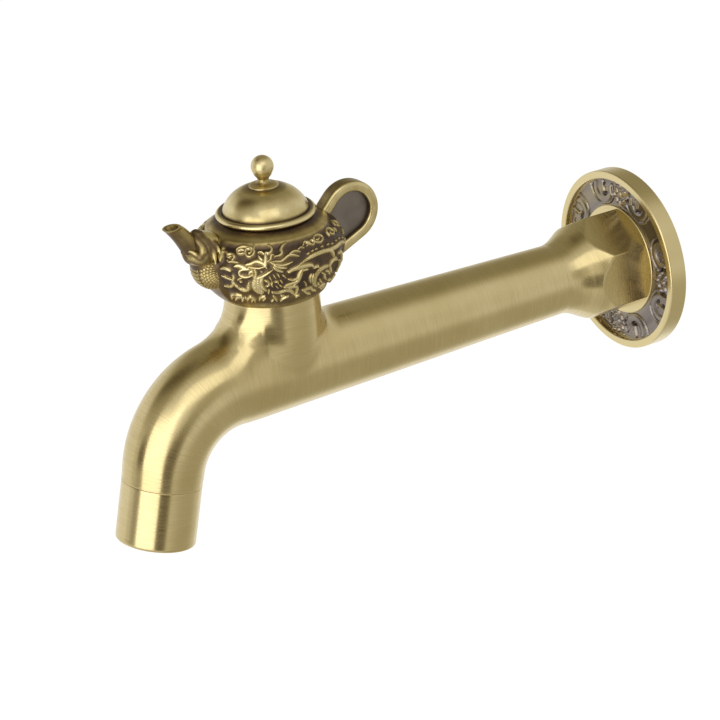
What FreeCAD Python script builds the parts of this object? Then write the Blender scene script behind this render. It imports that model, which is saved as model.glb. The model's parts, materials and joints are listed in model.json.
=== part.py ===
import FreeCAD, Part
import math
import os
import re
import Sketcher

# Long wall tap with a teapot-shaped quarter-turn handle.
# The origin is the centre of the rosette's wall face, +Z is up, the barrel runs out from the wall along -Y,
# and the inlet thread enters the wall along +Y. Lengths are millimetres, angles are degrees.

V = FreeCAD.Vector
SAME_PLACE = 0.01
doc = FreeCAD.newDocument("teapot_tap")
sheet = doc.addObject("Spreadsheet::Sheet", "Sizes")

# Driving dimensions: alias, value, what it measures
SIZES = [
    ("fit_gap", 0.05, "radial play of pieces that slide or screw together"),
    ("handle_lift", 0.35, "gap between the pot's foot and the neck"),
    ("edge_break", 0.5, "small rounding of machined edges"),
    ("cut_spare", 1.0, "how far a cutting form runs past the face that it cuts"),
    ("cross_cut", 42.0, "length of a cutting form that goes right through"),
    # inlet and wall rosette
    ("thread_radius", 10.478, "half the major diameter of the G1/2 inlet thread"),
    ("thread_reach", 10.5, "length of the thread behind the wall face"),
    ("thread_bevel", 1.0, "bevel at the thread's end"),
    ("thread_relief_radius", 9.5, "turned relief between thread and hexagon"),
    ("inlet_bore_radius", 8.0, "waterway of the barrel"),
    ("rosette_radius", 30.0, "wall rosette, outside"),
    ("rosette_depth", 6.0, "wall rosette, from wall to rim"),
    ("rosette_rim", 2.6, "width of the bright rim"),
    ("rosette_recess", 1.8, "depth of the relief field below the rim"),
    ("rosette_boss_radius", 18.3, "plain ring round the hexagon"),
    ("rosette_boss_drop", 1.0, "ring's face below the rim"),
    ("rosette_hole_play", 0.4, "radial play of the rosette on the thread"),
    ("rosette_web", 1.8, "thickness of the relief field"),
    ("rosette_lip", 2.7, "width of the ring that rests on the wall"),
    # barrel
    ("hexagon_flats", 30.6, "spanner hexagon, across flats"),
    ("hexagon_length", 14.4, "hexagon's corner edges"),
    ("hexagon_bevel", 1.3, "bevel of the hexagon's corners, along the barrel"),
    ("shoulder_radius", 15.2, "round shoulder in front of the hexagon"),
    ("shoulder_length", 1.0, "round shoulder, before it rounds off"),
    ("flare_length", 10.5, "from the shoulder down to the barrel"),
    ("flare_crown_share", 0.4, "share of the flare that bulges, before it turns hollow"),
    ("barrel_root_radius", 11.45, "barrel behind the flare"),
    ("barrel_end_radius", 14.25, "barrel where its taper ends"),
    ("handle_reach", 136.7, "handle axis from the wall"),
    # spout
    ("taper_reach", 10.6, "end of the barrel's taper beyond the handle axis"),
    ("bend_lead", 6.0, "straight lead before the bend"),
    ("bend_radius", 27.0, "bend of the spout's centre line"),
    ("spout_tilt", 12.7, "the mouth leans outward from the vertical"),
    ("spout_tail", 5.1, "straight part after the bend"),
    ("spout_tip_radius", 12.5, "spout at the aerator's seam"),
    ("outlet_bore_radius", 8.0, "waterway of the spout"),
    ("spigot_radius", 11.0, "threaded spigot that carries the aerator"),
    ("spigot_length", 8.0, "spigot below the seam"),
    # neck
    ("neck_radius", 14.7, "neck under the handle"),
    ("neck_top", 25.0, "neck's face above the barrel's axis"),
    ("neck_flare_top", 22.5, "height where the neck starts to spread"),
    ("neck_flare_drop", 12.0, "height of the spread"),
    ("neck_front_flare", 12.0, "spread towards the spout"),
    ("neck_rear_flare", 7.5, "spread towards the wall"),
    ("neck_root_half_width", 13.4, "half width of the neck inside the barrel"),
    ("neck_root", 2.0, "height of the neck's root"),
    # headwork seat inside the body
    ("seat_height", 1.0, "seat face above the barrel's axis"),
    ("seat_hole_radius", 4.6, "hole through the seat"),
    ("passage_radius", 4.4, "passage under the seat"),
    ("passage_depth", 7.0, "passage below the barrel's axis"),
    ("passage_overrun", 3.8, "passage past the handle axis"),
    ("bore_end_gap", 18.7, "end of the main bore before the handle axis"),
    ("chamber_radius", 10.1, "chamber round the cartridge"),
    ("chamber_top", 13.0, "where the neck's thread starts"),
    ("outlet_start", 6.5, "start of the outlet bore past the handle axis"),
    # headwork
    ("cage_bottom", 2.3, "cartridge's lower edge"),
    ("cage_radius", 9.2, "cartridge cage, outside"),
    ("cage_bore", 8.0, "cartridge cage, inside"),
    ("cage_ceiling", 13.95, "roof of the cage"),
    ("cage_bevel", 1.0, "lead from the cage to the thread"),
    ("window_bottom", 6.8, "side windows, lower edge"),
    ("window_top", 12.3, "side windows, upper edge"),
    ("window_width", 9.0, "side windows"),
    ("key_width", 3.0, "ears that stop the fixed disc turning"),
    ("key_reach", 8.9, "ears, from the axis"),
    ("gland_flats", 22.0, "headwork hexagon, across flats"),
    ("gland_height", 4.2, "headwork hexagon, thickness"),
    ("gland_neck_radius", 8.2, "collar above the hexagon"),
    ("gland_top", 33.0, "top of the collar"),
    ("ring_seat_radius", 12.2, "counterbore for the flange ring"),
    ("ring_seat_depth", 1.9, "counterbore depth"),
    ("ring_seat_root", 9.6, "relief under the flange"),
    ("flange_ring_wire", 0.9, "half the flange ring's section"),
    # discs and seal
    ("seal_inner", 4.8, "seat seal, inside"),
    ("seal_outer", 7.8, "seat seal, outside"),
    ("seal_height", 2.3, "seat seal"),
    ("disc_radius", 7.92, "ceramic discs and spindle foot"),
    ("disc_height", 2.5, "each ceramic disc"),
    ("port_inner", 1.7, "ports, from the axis"),
    ("port_outer", 6.2, "ports, to the outside"),
    ("port_angle", 72.0, "angle of each port"),
    ("slot_width", 4.0, "slot across the moving disc"),
    ("slot_depth", 1.0, "slot across the moving disc"),
    # spindle
    ("foot_height", 2.6, "open fork over the moving disc"),
    ("shoulder_top", 13.2, "spindle's shoulder"),
    ("stem_radius", 5.0, "spindle's stem"),
    ("stem_ring_root", 3.75, "bottom of the ring grooves"),
    ("stem_ring_width", 1.5, "ring grooves"),
    ("stem_ring_first", 18.0, "height of the first ring"),
    ("stem_ring_pitch", 4.5, "between the rings"),
    ("clip_root", 4.2, "bottom of the clip's groove"),
    ("clip_height", 0.9, "clip, thickness"),
    ("clip_radius", 6.6, "clip, outside"),
    ("clip_mouth", 5.0, "clip, opening"),
    ("clip_play", 0.3, "clip above the collar"),
    ("spline_bottom", 35.2, "spline's start"),
    ("spline_top", 44.0, "spindle's top"),
    ("spline_radius", 4.0, "over the teeth"),
    ("spline_root", 3.55, "between the teeth"),
    ("spline_teeth", 20, "teeth round the spindle"),
    ("washer_height", 0.6, "slip washer"),
    # teapot
    ("pot_foot_radius", 15.7, "pot's foot"),
    ("pot_belly_radius", 23.7, "widest part"),
    ("pot_belly_height", 40.0, "widest part, above the barrel's axis"),
    ("pot_lower_curve", 20.0, "curve from foot to belly"),
    ("pot_turn_curve", 7.0, "tight curve above the belly"),
    ("pot_turn", 45.0, "angle of the tight curve"),
    ("pot_crown_curve", 21.0, "flatter curve up to the lid"),
    ("pot_top", 49.7, "seat of the lid"),
    ("pot_wall", 3.0, "thickness of the shell"),
    ("pot_mouth_radius", 13.4, "opening in the foot, round the headwork"),
    ("pot_mouth_land", 2.0, "straight part of that opening"),
    ("boss_radius", 9.0, "boss that holds the spline bush"),
    ("boss_bottom", 34.6, "boss, lower face"),
    ("bush_radius", 6.2, "spline bush, outside"),
    ("bush_top", 44.4, "spline bush, top"),
    ("well_floor", 46.5, "floor under the screw"),
    ("well_floor_wall", 2.0, "thickness of that floor"),
    ("well_radius", 10.6, "screw well under the lid"),
    # teapot spout: centres out from the axis and up, radii, and leans, from the root to the mouth
    ("relief_depth", 0.7, "ground below the raised forms"),
    ("relief_bottom", 27.6, "lower edge of the relief"),
    ("relief_top", 47.8, "upper edge of the relief"),
    ("relief_ridge", 0.8, "half the width of a raised band"),
    ("arch_behind", 5.8, "arched back, centre"),
    ("arch_up", 32.6, "arched back, centre"),
    ("arch_radius", 9.3, "arched back"),
    ("tail_up", 33.8, "tail's coil under the back"),
    ("tail_radius", 3.0, "tail's coil"),
    ("mane_ahead", 8.0, "mane, centre"),
    ("mane_up", 34.8, "mane, centre"),
    ("mane_radius", 7.6, "mane"),
    ("limb_ahead", 7.1, "forelimb, centre"),
    ("limb_up", 37.2, "forelimb, centre"),
    ("limb_radius", 5.4, "forelimb"),
    ("knee_radius", 1.7, "knee above the forelimb"),
    ("head_ahead", 16.4, "head, centre"),
    ("head_up", 40.6, "head, centre"),
    ("head_radius", 3.0, "head"),
    ("chest_ahead", 13.9, "chest, centre"),
    ("chest_up", 34.6, "chest, centre"),
    ("chest_radius", 2.3, "chest"),
    ("claw_ahead", 19.4, "front claw"),
    ("claw_up", 35.4, "front claw"),
    ("claw_behind", 17.6, "hind claw"),
    ("claw_low", 31.6, "hind claw"),
    ("claw_radius", 1.5, "claws"),
    ("cloud_up", 45.4, "row of clouds"),
    ("cloud_pitch", 7.0, "between the clouds"),
    ("cloud_radius", 1.6, "clouds"),
    ("wave_up", 28.9, "row of waves"),
    ("wave_pitch", 5.8, "between the waves"),
    ("wave_radius", 0.8, "waves"),

    ("snout_root_out", 16.6, "inside the belly"),
    ("snout_root_up", 37.6, "inside the belly"),
    ("snout_root_radius", 6.2, "inside the belly"),
    ("snout_root_lean", 46.0, "lean from the vertical"),
    ("snout_breast_out", 21.4, "above the breast"),
    ("snout_breast_up", 41.0, "above the breast"),
    ("snout_breast_radius", 5.9, "above the breast"),
    ("snout_breast_lean", 43.0, "lean from the vertical"),
    ("snout_collar_out", 25.1, "leaf collar"),
    ("snout_collar_up", 43.8, "leaf collar"),
    ("snout_collar_radius", 3.7, "leaf collar"),
    ("snout_collar_lean", 40.0, "lean from the vertical"),
    ("snout_throat_out", 30.0, "throat"),
    ("snout_throat_up", 50.7, "throat"),
    ("snout_throat_radius", 2.7, "throat"),
    ("snout_throat_lean", 38.0, "lean from the vertical"),
    ("snout_mouth_out", 32.8, "mouth"),
    ("snout_mouth_up", 53.9, "mouth"),
    ("snout_mouth_radius", 2.9, "mouth"),
    ("snout_mouth_lean", 6.0, "lean from the vertical"),
    ("breast_ball_out", 19.7, "round breast under the spout"),
    ("breast_ball_up", 38.2, "round breast under the spout"),
    ("breast_ball_radius", 7.15, "round breast under the spout"),
    ("snout_lip", 0.9, "wall round the mouth's hollow"),
    ("snout_hollow", 3.2, "depth of the mouth's hollow"),
    # teapot loop
    ("loop_out", 29.15, "centre of the loop's round part"),
    ("loop_up", 43.6, "centre of the loop's round part"),
    ("loop_radius", 9.9, "outside of the loop"),
    ("loop_band", 3.3, "thickness of the band"),
    ("loop_width", 5.7, "width of the band"),
    ("loop_web", 1.8, "thickness of the filled middle"),
    ("loop_root_reach", 2.25, "ends of the loop beyond its round part, inside the belly"),
    ("loop_root_top", 41.1, "upper end"),
    ("loop_root_bottom", 30.6, "lower end"),
    ("loop_rounding", 1.3, "rounding of the band's edges"),
    # lid and finial
    ("lid_spigot_radius", 10.5, "lid's spigot in the well"),
    ("lid_spigot_wall", 2.5, "lid's spigot"),
    ("lid_spigot_depth", 2.4, "lid's spigot"),
    ("lid_hollow_wall", 1.0, "straight wall of the lid's hollow above the seat"),
    ("lid_rim_radius", 15.4, "rounded rim"),
    ("lid_rim_height", 2.15, "rounded rim"),
    ("lid_rim_seat", 14.4, "rim where it rests on the pot"),
    ("dome_radius", 13.3, "dome above the rim"),
    ("dome_height", 9.35, "dome's top above the lid's seat"),
    ("dome_curve", 10.8, "curve of the dome"),
    ("finial_disc_radius", 4.6, "small disc"),
    ("finial_disc_height", 0.9, "small disc"),
    ("finial_stem_radius", 1.75, "stem"),
    ("ball_radius", 3.5, "ball"),
    ("ball_lift", 6.2, "ball's centre above the dome"),
    ("stud_radius", 1.5, "finial's stud in the lid"),
    ("stud_length", 4.5, "finial's stud in the lid"),
    # handle screw
    ("screw_radius", 2.0, "screw's shank"),
    ("screw_length", 13.0, "screw's shank"),
    ("screw_head_radius", 3.5, "screw's head"),
    ("screw_head_height", 3.4, "screw's head"),
    ("screw_socket_flats", 3.0, "socket in the head"),
    ("screw_socket_depth", 2.0, "socket in the head"),
    ("screw_hole_play", 0.3, "hole under the head"),
    ("spring_washer_radius", 3.9, "spring washer"),
    ("spring_washer_height", 0.8, "spring washer"),
    # aerator, measured down from the seam
    ("sleeve_length", 19.2, "aerator sleeve"),
    ("sleeve_rounding", 1.1, "rounded mouth of the sleeve"),
    ("sleeve_seam", 0.3, "bevel that shows as the seam"),
    ("sleeve_lip", 1.4, "lip under the insert"),
    ("sleeve_mouth_radius", 9.4, "opening of the mouth"),
    ("gasket_height", 1.6, "aerator washer"),
    ("gasket_inner", 8.8, "aerator washer, inside"),
    ("insert_radius", 10.9, "aerator insert"),
    ("insert_plate", 3.0, "insert's lower plate"),
    ("jet_radius", 0.95, "jet holes"),
    ("jet_pitch", 3.2, "between rings of jet holes"),
    ("screen_radius", 10.1, "aerator screen"),
    ("screen_height", 0.6, "aerator screen"),
    ("screen_ledge", 1.0, "ledge in the insert that carries the screen"),
    ("mesh_radius", 1.2, "openings of the screen"),
    ("mesh_pitch", 3.6, "between rings of openings"),
]

names = [name for name, number, note in SIZES]
for row, (name, number, note) in enumerate(SIZES, start=1):
    sheet.set("A%d" % row, note)
    sheet.set("B%d" % row, str(number))
    sheet.setAlias("B%d" % row, name)
doc.recompute()


def link(expression):
    """The expression with the sheet's name before each alias."""
    def full(word):
        return "Sizes." + word.group() if word.group() in names else word.group()
    return re.sub(r"[a-z][a-z_]*", full, str(expression))


def val(expression):
    """The number that an expression gives with the sheet's present values."""
    return float(sheet.evalExpression(link(expression)))


def bind(thing, path, expression):
    """Ties one property of a document object to the sheet."""
    thing.setExpression(path, link(expression))


def half_corner(flats):
    """A hexagon's corner radius, written from its size across flats."""
    return "%s / 2 / cos(30)" % flats


def place(thing, at=("0", "0", "0"), axis=(0, 0, 1), angle="0"):
    """Puts an object in its place with expressions for the position and the turn."""
    turn = FreeCAD.Rotation(V(*axis), val(angle))
    thing.Placement = FreeCAD.Placement(V(*[val(part) for part in at]), turn)
    for letter, part in zip("xyz", at):
        bind(thing, "Placement.Base." + letter, part)
    if angle != "0":
        bind(thing, "Placement.Rotation.Angle", angle)


def body(label):
    made = doc.addObject("PartDesign::Body", label)
    made.Label = label
    return made


def sketch_on(owner, role, name, lift="0"):
    """A sketch on one of the body's own origin planes, lifted along its normal."""
    made = owner.newObject("Sketcher::SketchObject", name)
    support = [plane for plane in owner.Origin.OriginFeatures if plane.Role == role][0]
    made.AttachmentSupport = (support, "")
    made.MapMode = "FlatFace"
    made.AttachmentOffset = FreeCAD.Placement(V(0, 0, val(lift)), FreeCAD.Rotation())
    if lift != "0":
        bind(made, "AttachmentOffset.Base.z", lift)
    return made


def pin(sketch, geometry, vertex, x, y):
    """Fixes one vertex of a sketch by its two coordinates."""
    for kind, expression, axis in (("DistanceX", x, -2), ("DistanceY", y, -1)):
        if expression == "0":
            sketch.addConstraint(Sketcher.Constraint("PointOnObject", geometry, vertex, axis))
        else:
            index = sketch.addConstraint(Sketcher.Constraint(kind, -1, 1, geometry, vertex, val(expression)))
            bind(sketch, "Constraints[%d]" % index, expression)


def arc_between(start, end, radius, turn):
    """An arc from start to end that turns left (1) or right (-1) by less than a half turn."""
    chord = end - start
    rise = math.sqrt(max(radius ** 2 - (chord.Length / 2) ** 2, 0))
    left = V(-chord.y, chord.x, 0).normalize()
    centre = (start + end) / 2 + left * rise * turn
    first, last = (start, end) if turn > 0 else (end, start)
    angles = [math.atan2((point - centre).y, (point - centre).x) for point in (first, last)]
    if angles[1] < angles[0]:
        angles[1] += 2 * math.pi
    return Part.ArcOfCircle(Part.Circle(centre, V(0, 0, 1), radius), angles[0], angles[1])


def outline(sketch, steps):
    """A closed outline. Each step is its end point, and for an arc its radius and the way it turns."""
    points = [V(val(step[0]), val(step[1]), 0) for step in steps]
    base = sketch.GeometryCount
    ends = []
    for index, step in enumerate(steps):
        start, end = points[index - 1], points[index]
        if len(step) == 2:
            sketch.addGeometry(Part.LineSegment(start, end))
            ends.append((1, 2))
        else:
            sketch.addGeometry(arc_between(start, end, val(step[2]), step[3]))
            ends.append((1, 2) if step[3] > 0 else (2, 1))
    for index, step in enumerate(steps):
        following = (index + 1) % len(steps)
        sketch.addConstraint(Sketcher.Constraint("Coincident", base + index, ends[index][1],
                                                 base + following, ends[following][0]))
        pin(sketch, base + index, ends[index][1], step[0], step[1])
        if len(step) > 2:
            radius = sketch.addConstraint(Sketcher.Constraint("Radius", base + index, val(step[2])))
            bind(sketch, "Constraints[%d]" % radius, step[2])


def circle(sketch, radius, x="0", y="0"):
    index = sketch.addGeometry(Part.Circle(V(val(x), val(y), 0), V(0, 0, 1), val(radius)))
    pin(sketch, index, 3, x, y)
    size = sketch.addConstraint(Sketcher.Constraint("Radius", index, val(radius)))
    bind(sketch, "Constraints[%d]" % size, radius)


def hexagon(sketch, flats, turn="0"):
    """A regular hexagon round the origin; turn 0 puts a corner on the sketch's X axis."""
    corner = half_corner(flats)
    corners = []
    for side in range(6):
        angle = "%s + %d" % (turn, 60 * side)
        corners.append(("%s * cos(%s)" % (corner, angle), "%s * sin(%s)" % (corner, angle)))
    outline(sketch, corners)


def turned(owner, name, steps, role="XZ_Plane", cut=False):
    """A solid of revolution, or a groove, about the vertical axis of its sketch plane."""
    sketch = sketch_on(owner, role, name + "_outline")
    outline(sketch, steps)
    made = owner.newObject("PartDesign::Groove" if cut else "PartDesign::Revolution", name)
    made.Profile = sketch
    made.ReferenceAxis = (sketch, ["V_Axis"])
    made.Angle = 360
    return made


def padded(owner, name, sketch, length, cut=False, both=False, back=False):
    """A pad or a pocket from a sketch."""
    made = owner.newObject("PartDesign::Pocket" if cut else "PartDesign::Pad", name)
    made.Profile = sketch
    made.Length = val(length)
    bind(made, "Length", length)
    made.Midplane = both
    made.Reversed = back
    return made


def turned_piece(label, steps, role="XZ_Plane"):
    made = body(label)
    turned(made, label + "_turned", steps, role)
    return made


def at_handle(thing):
    """Moves a piece that is drawn about the handle's axis to the handle."""
    place(thing, ("0", "-handle_reach", "0"))


def round_edges(owner, name, radius, wanted):
    """Rounds the edges of the body's tip that the test picks."""
    doc.recompute()
    tip = owner.Tip
    picked = ["Edge%d" % number for number, edge in enumerate(tip.Shape.Edges, start=1) if wanted(edge)]
    made = owner.newObject("PartDesign::Fillet", name)
    made.Base = (tip, picked)
    made.Radius = val(radius)
    bind(made, "Radius", radius)
    return made


def spun_copies(owner, name, feature, count, sketch, axis="N_Axis"):
    """Repeats a feature round the sketch's normal."""
    made = owner.newObject("PartDesign::PolarPattern", name)
    made.Originals = [feature]
    made.Axis = (sketch, [axis])
    made.Angle = 360
    made.Occurrences = int(val(count))
    bind(made, "Occurrences", count)
    owner.Tip = made
    return made


def circle_at(name, radius, at, axis=(0, 0, 1), angle="0"):
    made = doc.addObject("Part::Circle", name)
    bind(made, "Radius", radius)
    place(made, at, axis, angle)
    return made


def loft(name, sections):
    made = doc.addObject("Part::Loft", name)
    made.Sections = sections
    made.Solid = True
    made.Ruled = False
    return made


def cylinder(name, radius, height, at, axis=(0, 0, 1), angle="0"):
    made = doc.addObject("Part::Cylinder", name)
    bind(made, "Radius", radius)
    bind(made, "Height", height)
    place(made, at, axis, angle)
    return made


def joined(name, shapes):
    made = doc.addObject("Part::MultiFuse", name)
    made.Shapes = shapes
    made.Refine = True
    return made


def less(label, whole, tools):
    """The whole with each tool cut from it in turn; the last cut carries the label."""
    for number, tool in enumerate(tools, start=1):
        cut = doc.addObject("Part::Cut", "%s_cut_%d" % (label, number))
        cut.Base = whole
        cut.Tool = tool
        whole = cut
    whole.Label = label
    return whole


# The spout's centre line: a straight lead, the bend, and a straight tail that leans outward
BEND_STATIONS = 8
LEAD_STATIONS = 2
TAIL_STATIONS = 2
BEND_ANGLE = "(90 - spout_tilt)"
TAPER_END = "(handle_reach + taper_reach)"
BEND_START = "(%s + bend_lead)" % TAPER_END
SEAM_Y = "-(%s + bend_radius * sin(%s) + spout_tail * cos(%s))" % (BEND_START, BEND_ANGLE, BEND_ANGLE)
SEAM_Z = "-(bend_radius * (1 - cos(%s)) + spout_tail * sin(%s))" % (BEND_ANGLE, BEND_ANGLE)
TIP_TURN = "(90 + %s)" % BEND_ANGLE


def spout_loft(name, start, tail, start_radius, tip_radius):
    """A round section carried along the spout's centre line, from a reach to a length of straight tail."""
    lead = "(%s - %s)" % (BEND_START, start)
    run = "(bend_radius * %s * %r / 180 + %s)" % (BEND_ANGLE, math.pi, tail)
    sections = []
    for step in range(LEAD_STATIONS):
        reach = "(%s + %s * %d / %d)" % (start, lead, step, LEAD_STATIONS)
        at = ("0", "-" + reach, "0")
        sections.append(circle_at("%s_lead_%d" % (name, step), start_radius, at, (1, 0, 0), "90"))
    for step in range(BEND_STATIONS + 1):
        angle = "(%s * %d / %d)" % (BEND_ANGLE, step, BEND_STATIONS)
        share = "(bend_radius * %s * %r / 180 / %s)" % (angle, math.pi, run)
        radius = "%s + (%s - %s) * %s" % (start_radius, tip_radius, start_radius, share)
        at = ("0", "-(%s + bend_radius * sin(%s))" % (BEND_START, angle),
              "-bend_radius * (1 - cos(%s))" % angle)
        sections.append(circle_at("%s_bend_%d" % (name, step), radius, at, (1, 0, 0), "90 + %s" % angle))
    for step in range(1, TAIL_STATIONS + 1):
        along = "(%s * %d / %d)" % (tail, step, TAIL_STATIONS)
        share = "(1 - (%s - %s) / %s)" % (tail, along, run)
        radius = "%s + (%s - %s) * %s" % (start_radius, tip_radius, start_radius, share)
        forward = "bend_radius * sin(%s) + %s * cos(%s)" % (BEND_ANGLE, along, BEND_ANGLE)
        drop = "bend_radius * (1 - cos(%s)) + %s * sin(%s)" % (BEND_ANGLE, along, BEND_ANGLE)
        at = ("0", "-(%s + %s)" % (BEND_START, forward), "-(%s)" % drop)
        sections.append(circle_at("%s_tail_%d" % (name, step), radius, at, (1, 0, 0), TIP_TURN))
    return loft(name, sections)


def at_seam(thing):
    """Moves a piece that is drawn about Z, with its top at zero, to the spout's seam."""
    place(thing, ("0", SEAM_Y, SEAM_Z), (-1, 0, 0), "spout_tilt")


# Tap body: hexagon, flared and tapered barrel, spout, neck and inlet thread in one casting
HEX_BACK = "(rosette_depth - rosette_boss_drop)"
HEX_FRONT = "(%s + hexagon_length)" % HEX_BACK
SHOULDER_START = "(%s + hexagon_bevel)" % HEX_FRONT
FLARE_START = "(%s + shoulder_length)" % SHOULDER_START
FLARE_END = "(%s + flare_length)" % FLARE_START
FLARE_DROP = "(shoulder_radius - barrel_root_radius)"
# Two arcs that meet in the middle of a slope: their radii share half the chord squared over the drop
FLARE_CURVE = "((%s ^ 2 + flare_length ^ 2) / 2 / %s)" % (FLARE_DROP, FLARE_DROP)
HEX_CORNER = half_corner("hexagon_flats")

barrel = body("barrel_form")
turned(barrel, "barrel_turned", [
    ("0", "thread_reach"),
    ("thread_radius - thread_bevel", "thread_reach"),
    ("thread_radius", "thread_reach - thread_bevel"),
    ("thread_radius", "0"),
    ("thread_relief_radius", "0"),
    ("thread_relief_radius", "-" + HEX_BACK),
    (HEX_CORNER, "-" + HEX_BACK),
    (HEX_CORNER, "-" + HEX_FRONT),
    ("shoulder_radius", "-" + SHOULDER_START),
    ("shoulder_radius", "-" + FLARE_START),
    ("shoulder_radius - %s * flare_crown_share" % FLARE_DROP,
     "-(%s + flare_length * flare_crown_share)" % FLARE_START, "%s * flare_crown_share" % FLARE_CURVE, -1),
    ("barrel_root_radius", "-" + FLARE_END, "%s * (1 - flare_crown_share)" % FLARE_CURVE, 1),
    ("barrel_end_radius", "-" + TAPER_END),
    ("0", "-" + TAPER_END),
], "XY_Plane")
trim = sketch_on(barrel, "XZ_Plane", "hexagon_outline")
hexagon(trim, "hexagon_flats", "30")
circle(trim, "%s + cut_spare" % HEX_CORNER)
padded(barrel, "hexagon_flats_cut", trim, FLARE_END, cut=True, back=True)

# The neck spreads into the barrel through ellipses that grow to the front and the rear
NECK_STEPS = 6
FLARE_SWING = 80
LONGER_AXIS = 0.001
neck_sections = []


def neck_section(name, height, half_width, front, rear):
    made = doc.addObject("Part::Ellipse", name)
    bind(made, "MajorRadius", "(%s + %s) / 2 + %s" % (front, rear, LONGER_AXIS))
    bind(made, "MinorRadius", half_width)
    place(made, ("0", "-handle_reach - (%s - %s) / 2" % (front, rear), height), (0, 0, 1), "90")
    neck_sections.append(made)


neck_section("neck_section_top", "neck_top", "neck_radius", "neck_radius", "neck_radius")
for step in range(NECK_STEPS + 1):
    swing = "(%d * %d / %d)" % (FLARE_SWING, step, NECK_STEPS)
    neck_section("neck_section_%d" % step,
                 "neck_flare_top - neck_flare_drop * sin(%s)" % swing,
                 "neck_radius + (neck_root_half_width - neck_radius) * %d / %d" % (step, NECK_STEPS + 1),
                 "(neck_radius + neck_front_flare * (1 - cos(%s)))" % swing,
                 "(neck_radius + neck_rear_flare * (1 - cos(%s)))" % swing)
neck_section("neck_section_root", "neck_root", "neck_root_half_width",
             "(neck_radius + neck_front_flare * (1 - cos(%d)))" % FLARE_SWING,
             "(neck_radius + neck_rear_flare * (1 - cos(%d)))" % FLARE_SWING)
neck = loft("neck_form", neck_sections)

spout = spout_loft("spout_form", TAPER_END, "spout_tail", "barrel_end_radius", "spout_tip_radius")
SPIGOT_Y = SEAM_Y + " - spigot_length * sin(spout_tilt)"
SPIGOT_Z = SEAM_Z + " - spigot_length * cos(spout_tilt)"
spigot = cylinder("spigot_form", "spigot_radius", "spigot_length + cut_spare", ("0", SPIGOT_Y, SPIGOT_Z),
                  (-1, 0, 0), "spout_tilt")
body_form = joined("tap_body_form", [barrel, neck, spout, spigot])

# Waterways: main bore, passage under the seat, chamber and neck thread, outlet bore
BORE_RUN = "thread_reach + handle_reach - bore_end_gap + cut_spare"
main_bore = cylinder("main_bore", "inlet_bore_radius", BORE_RUN, ("0", "thread_reach + cut_spare", "0"),
                     (1, 0, 0), "90")
passage = cylinder("seat_passage", "passage_radius", "bore_end_gap + passage_overrun + inlet_bore_radius",
                   ("0", "-handle_reach + bore_end_gap + inlet_bore_radius", "-passage_depth"),
                   (1, 0, 0), "90")
well = turned_piece("headwork_well", [
    ("0", "-passage_depth"),
    ("seat_hole_radius", "-passage_depth"),
    ("seat_hole_radius", "seat_height"),
    ("chamber_radius", "seat_height"),
    ("chamber_radius", "chamber_top"),
    ("thread_radius + fit_gap", "chamber_top"),
    ("thread_radius + fit_gap", "neck_top - ring_seat_depth"),
    ("ring_seat_radius", "neck_top - ring_seat_depth"),
    ("ring_seat_radius", "neck_top + cut_spare"),
    ("0", "neck_top + cut_spare"),
])
at_handle(well)
outlet = spout_loft("outlet_bore", "(handle_reach + outlet_start)",
                    "(spout_tail + spigot_length + cut_spare)", "outlet_bore_radius", "outlet_bore_radius")
tap_body = less("tap_body", body_form, [main_bore, passage, well, outlet])

# Wall rosette: bright rim, sunk relief field and plain ring round the hexagon, hollow behind
rosette = turned_piece("wall_rosette", [
    ("thread_radius + rosette_hole_play", "-(rosette_depth - rosette_recess - rosette_web)"),
    ("rosette_radius - rosette_lip", "-(rosette_depth - rosette_recess - rosette_web)"),
    ("rosette_radius - rosette_lip", "0"),
    ("rosette_radius", "0"),
    ("rosette_radius", "-rosette_depth"),
    ("rosette_radius - rosette_rim", "-rosette_depth"),
    ("rosette_radius - rosette_rim", "-(rosette_depth - rosette_recess)"),
    ("rosette_boss_radius", "-(rosette_depth - rosette_recess)"),
    ("rosette_boss_radius", "-(rosette_depth - rosette_boss_drop)"),
    ("thread_radius + rosette_hole_play", "-(rosette_depth - rosette_boss_drop)"),
], "XY_Plane")
round_edges(rosette, "rosette_edges", "edge_break",
            lambda edge: edge.BoundBox.YMax < SAME_PLACE - val("rosette_depth"))

# Aerator: sleeve, washer, screen and insert about the leaning tip
sleeve = turned_piece("aerator_housing", [
    ("spigot_radius + fit_gap", "0"),
    ("spout_tip_radius - sleeve_seam", "0"),
    ("spout_tip_radius", "-sleeve_seam"),
    ("spout_tip_radius", "-(sleeve_length - sleeve_rounding)"),
    ("spout_tip_radius - sleeve_rounding", "-sleeve_length", "sleeve_rounding", -1),
    ("sleeve_mouth_radius", "-sleeve_length"),
    ("sleeve_mouth_radius", "-(sleeve_length - sleeve_lip)"),
    ("spigot_radius + fit_gap", "-(sleeve_length - sleeve_lip)"),
])
at_seam(sleeve)
GASKET_END = "(spigot_length + gasket_height)"
gasket = turned_piece("aerator_washer", [
    ("gasket_inner", "-spigot_length"),
    ("insert_radius", "-spigot_length"),
    ("insert_radius", "-" + GASKET_END),
    ("gasket_inner", "-" + GASKET_END),
])
at_seam(gasket)
INSERT_END = "(sleeve_length - sleeve_lip)"
SCREEN_END = "(%s + screen_height)" % GASKET_END
insert = turned_piece("aerator_insert", [
    ("screen_radius + fit_gap", "-" + GASKET_END),
    ("insert_radius", "-" + GASKET_END),
    ("insert_radius", "-" + INSERT_END),
    ("0", "-" + INSERT_END),
    ("0", "-(%s - insert_plate)" % INSERT_END),
    ("screen_radius - screen_ledge", "-(%s - insert_plate)" % INSERT_END),
    ("screen_radius - screen_ledge", "-" + SCREEN_END),
    ("screen_radius + fit_gap", "-" + SCREEN_END),
])


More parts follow.
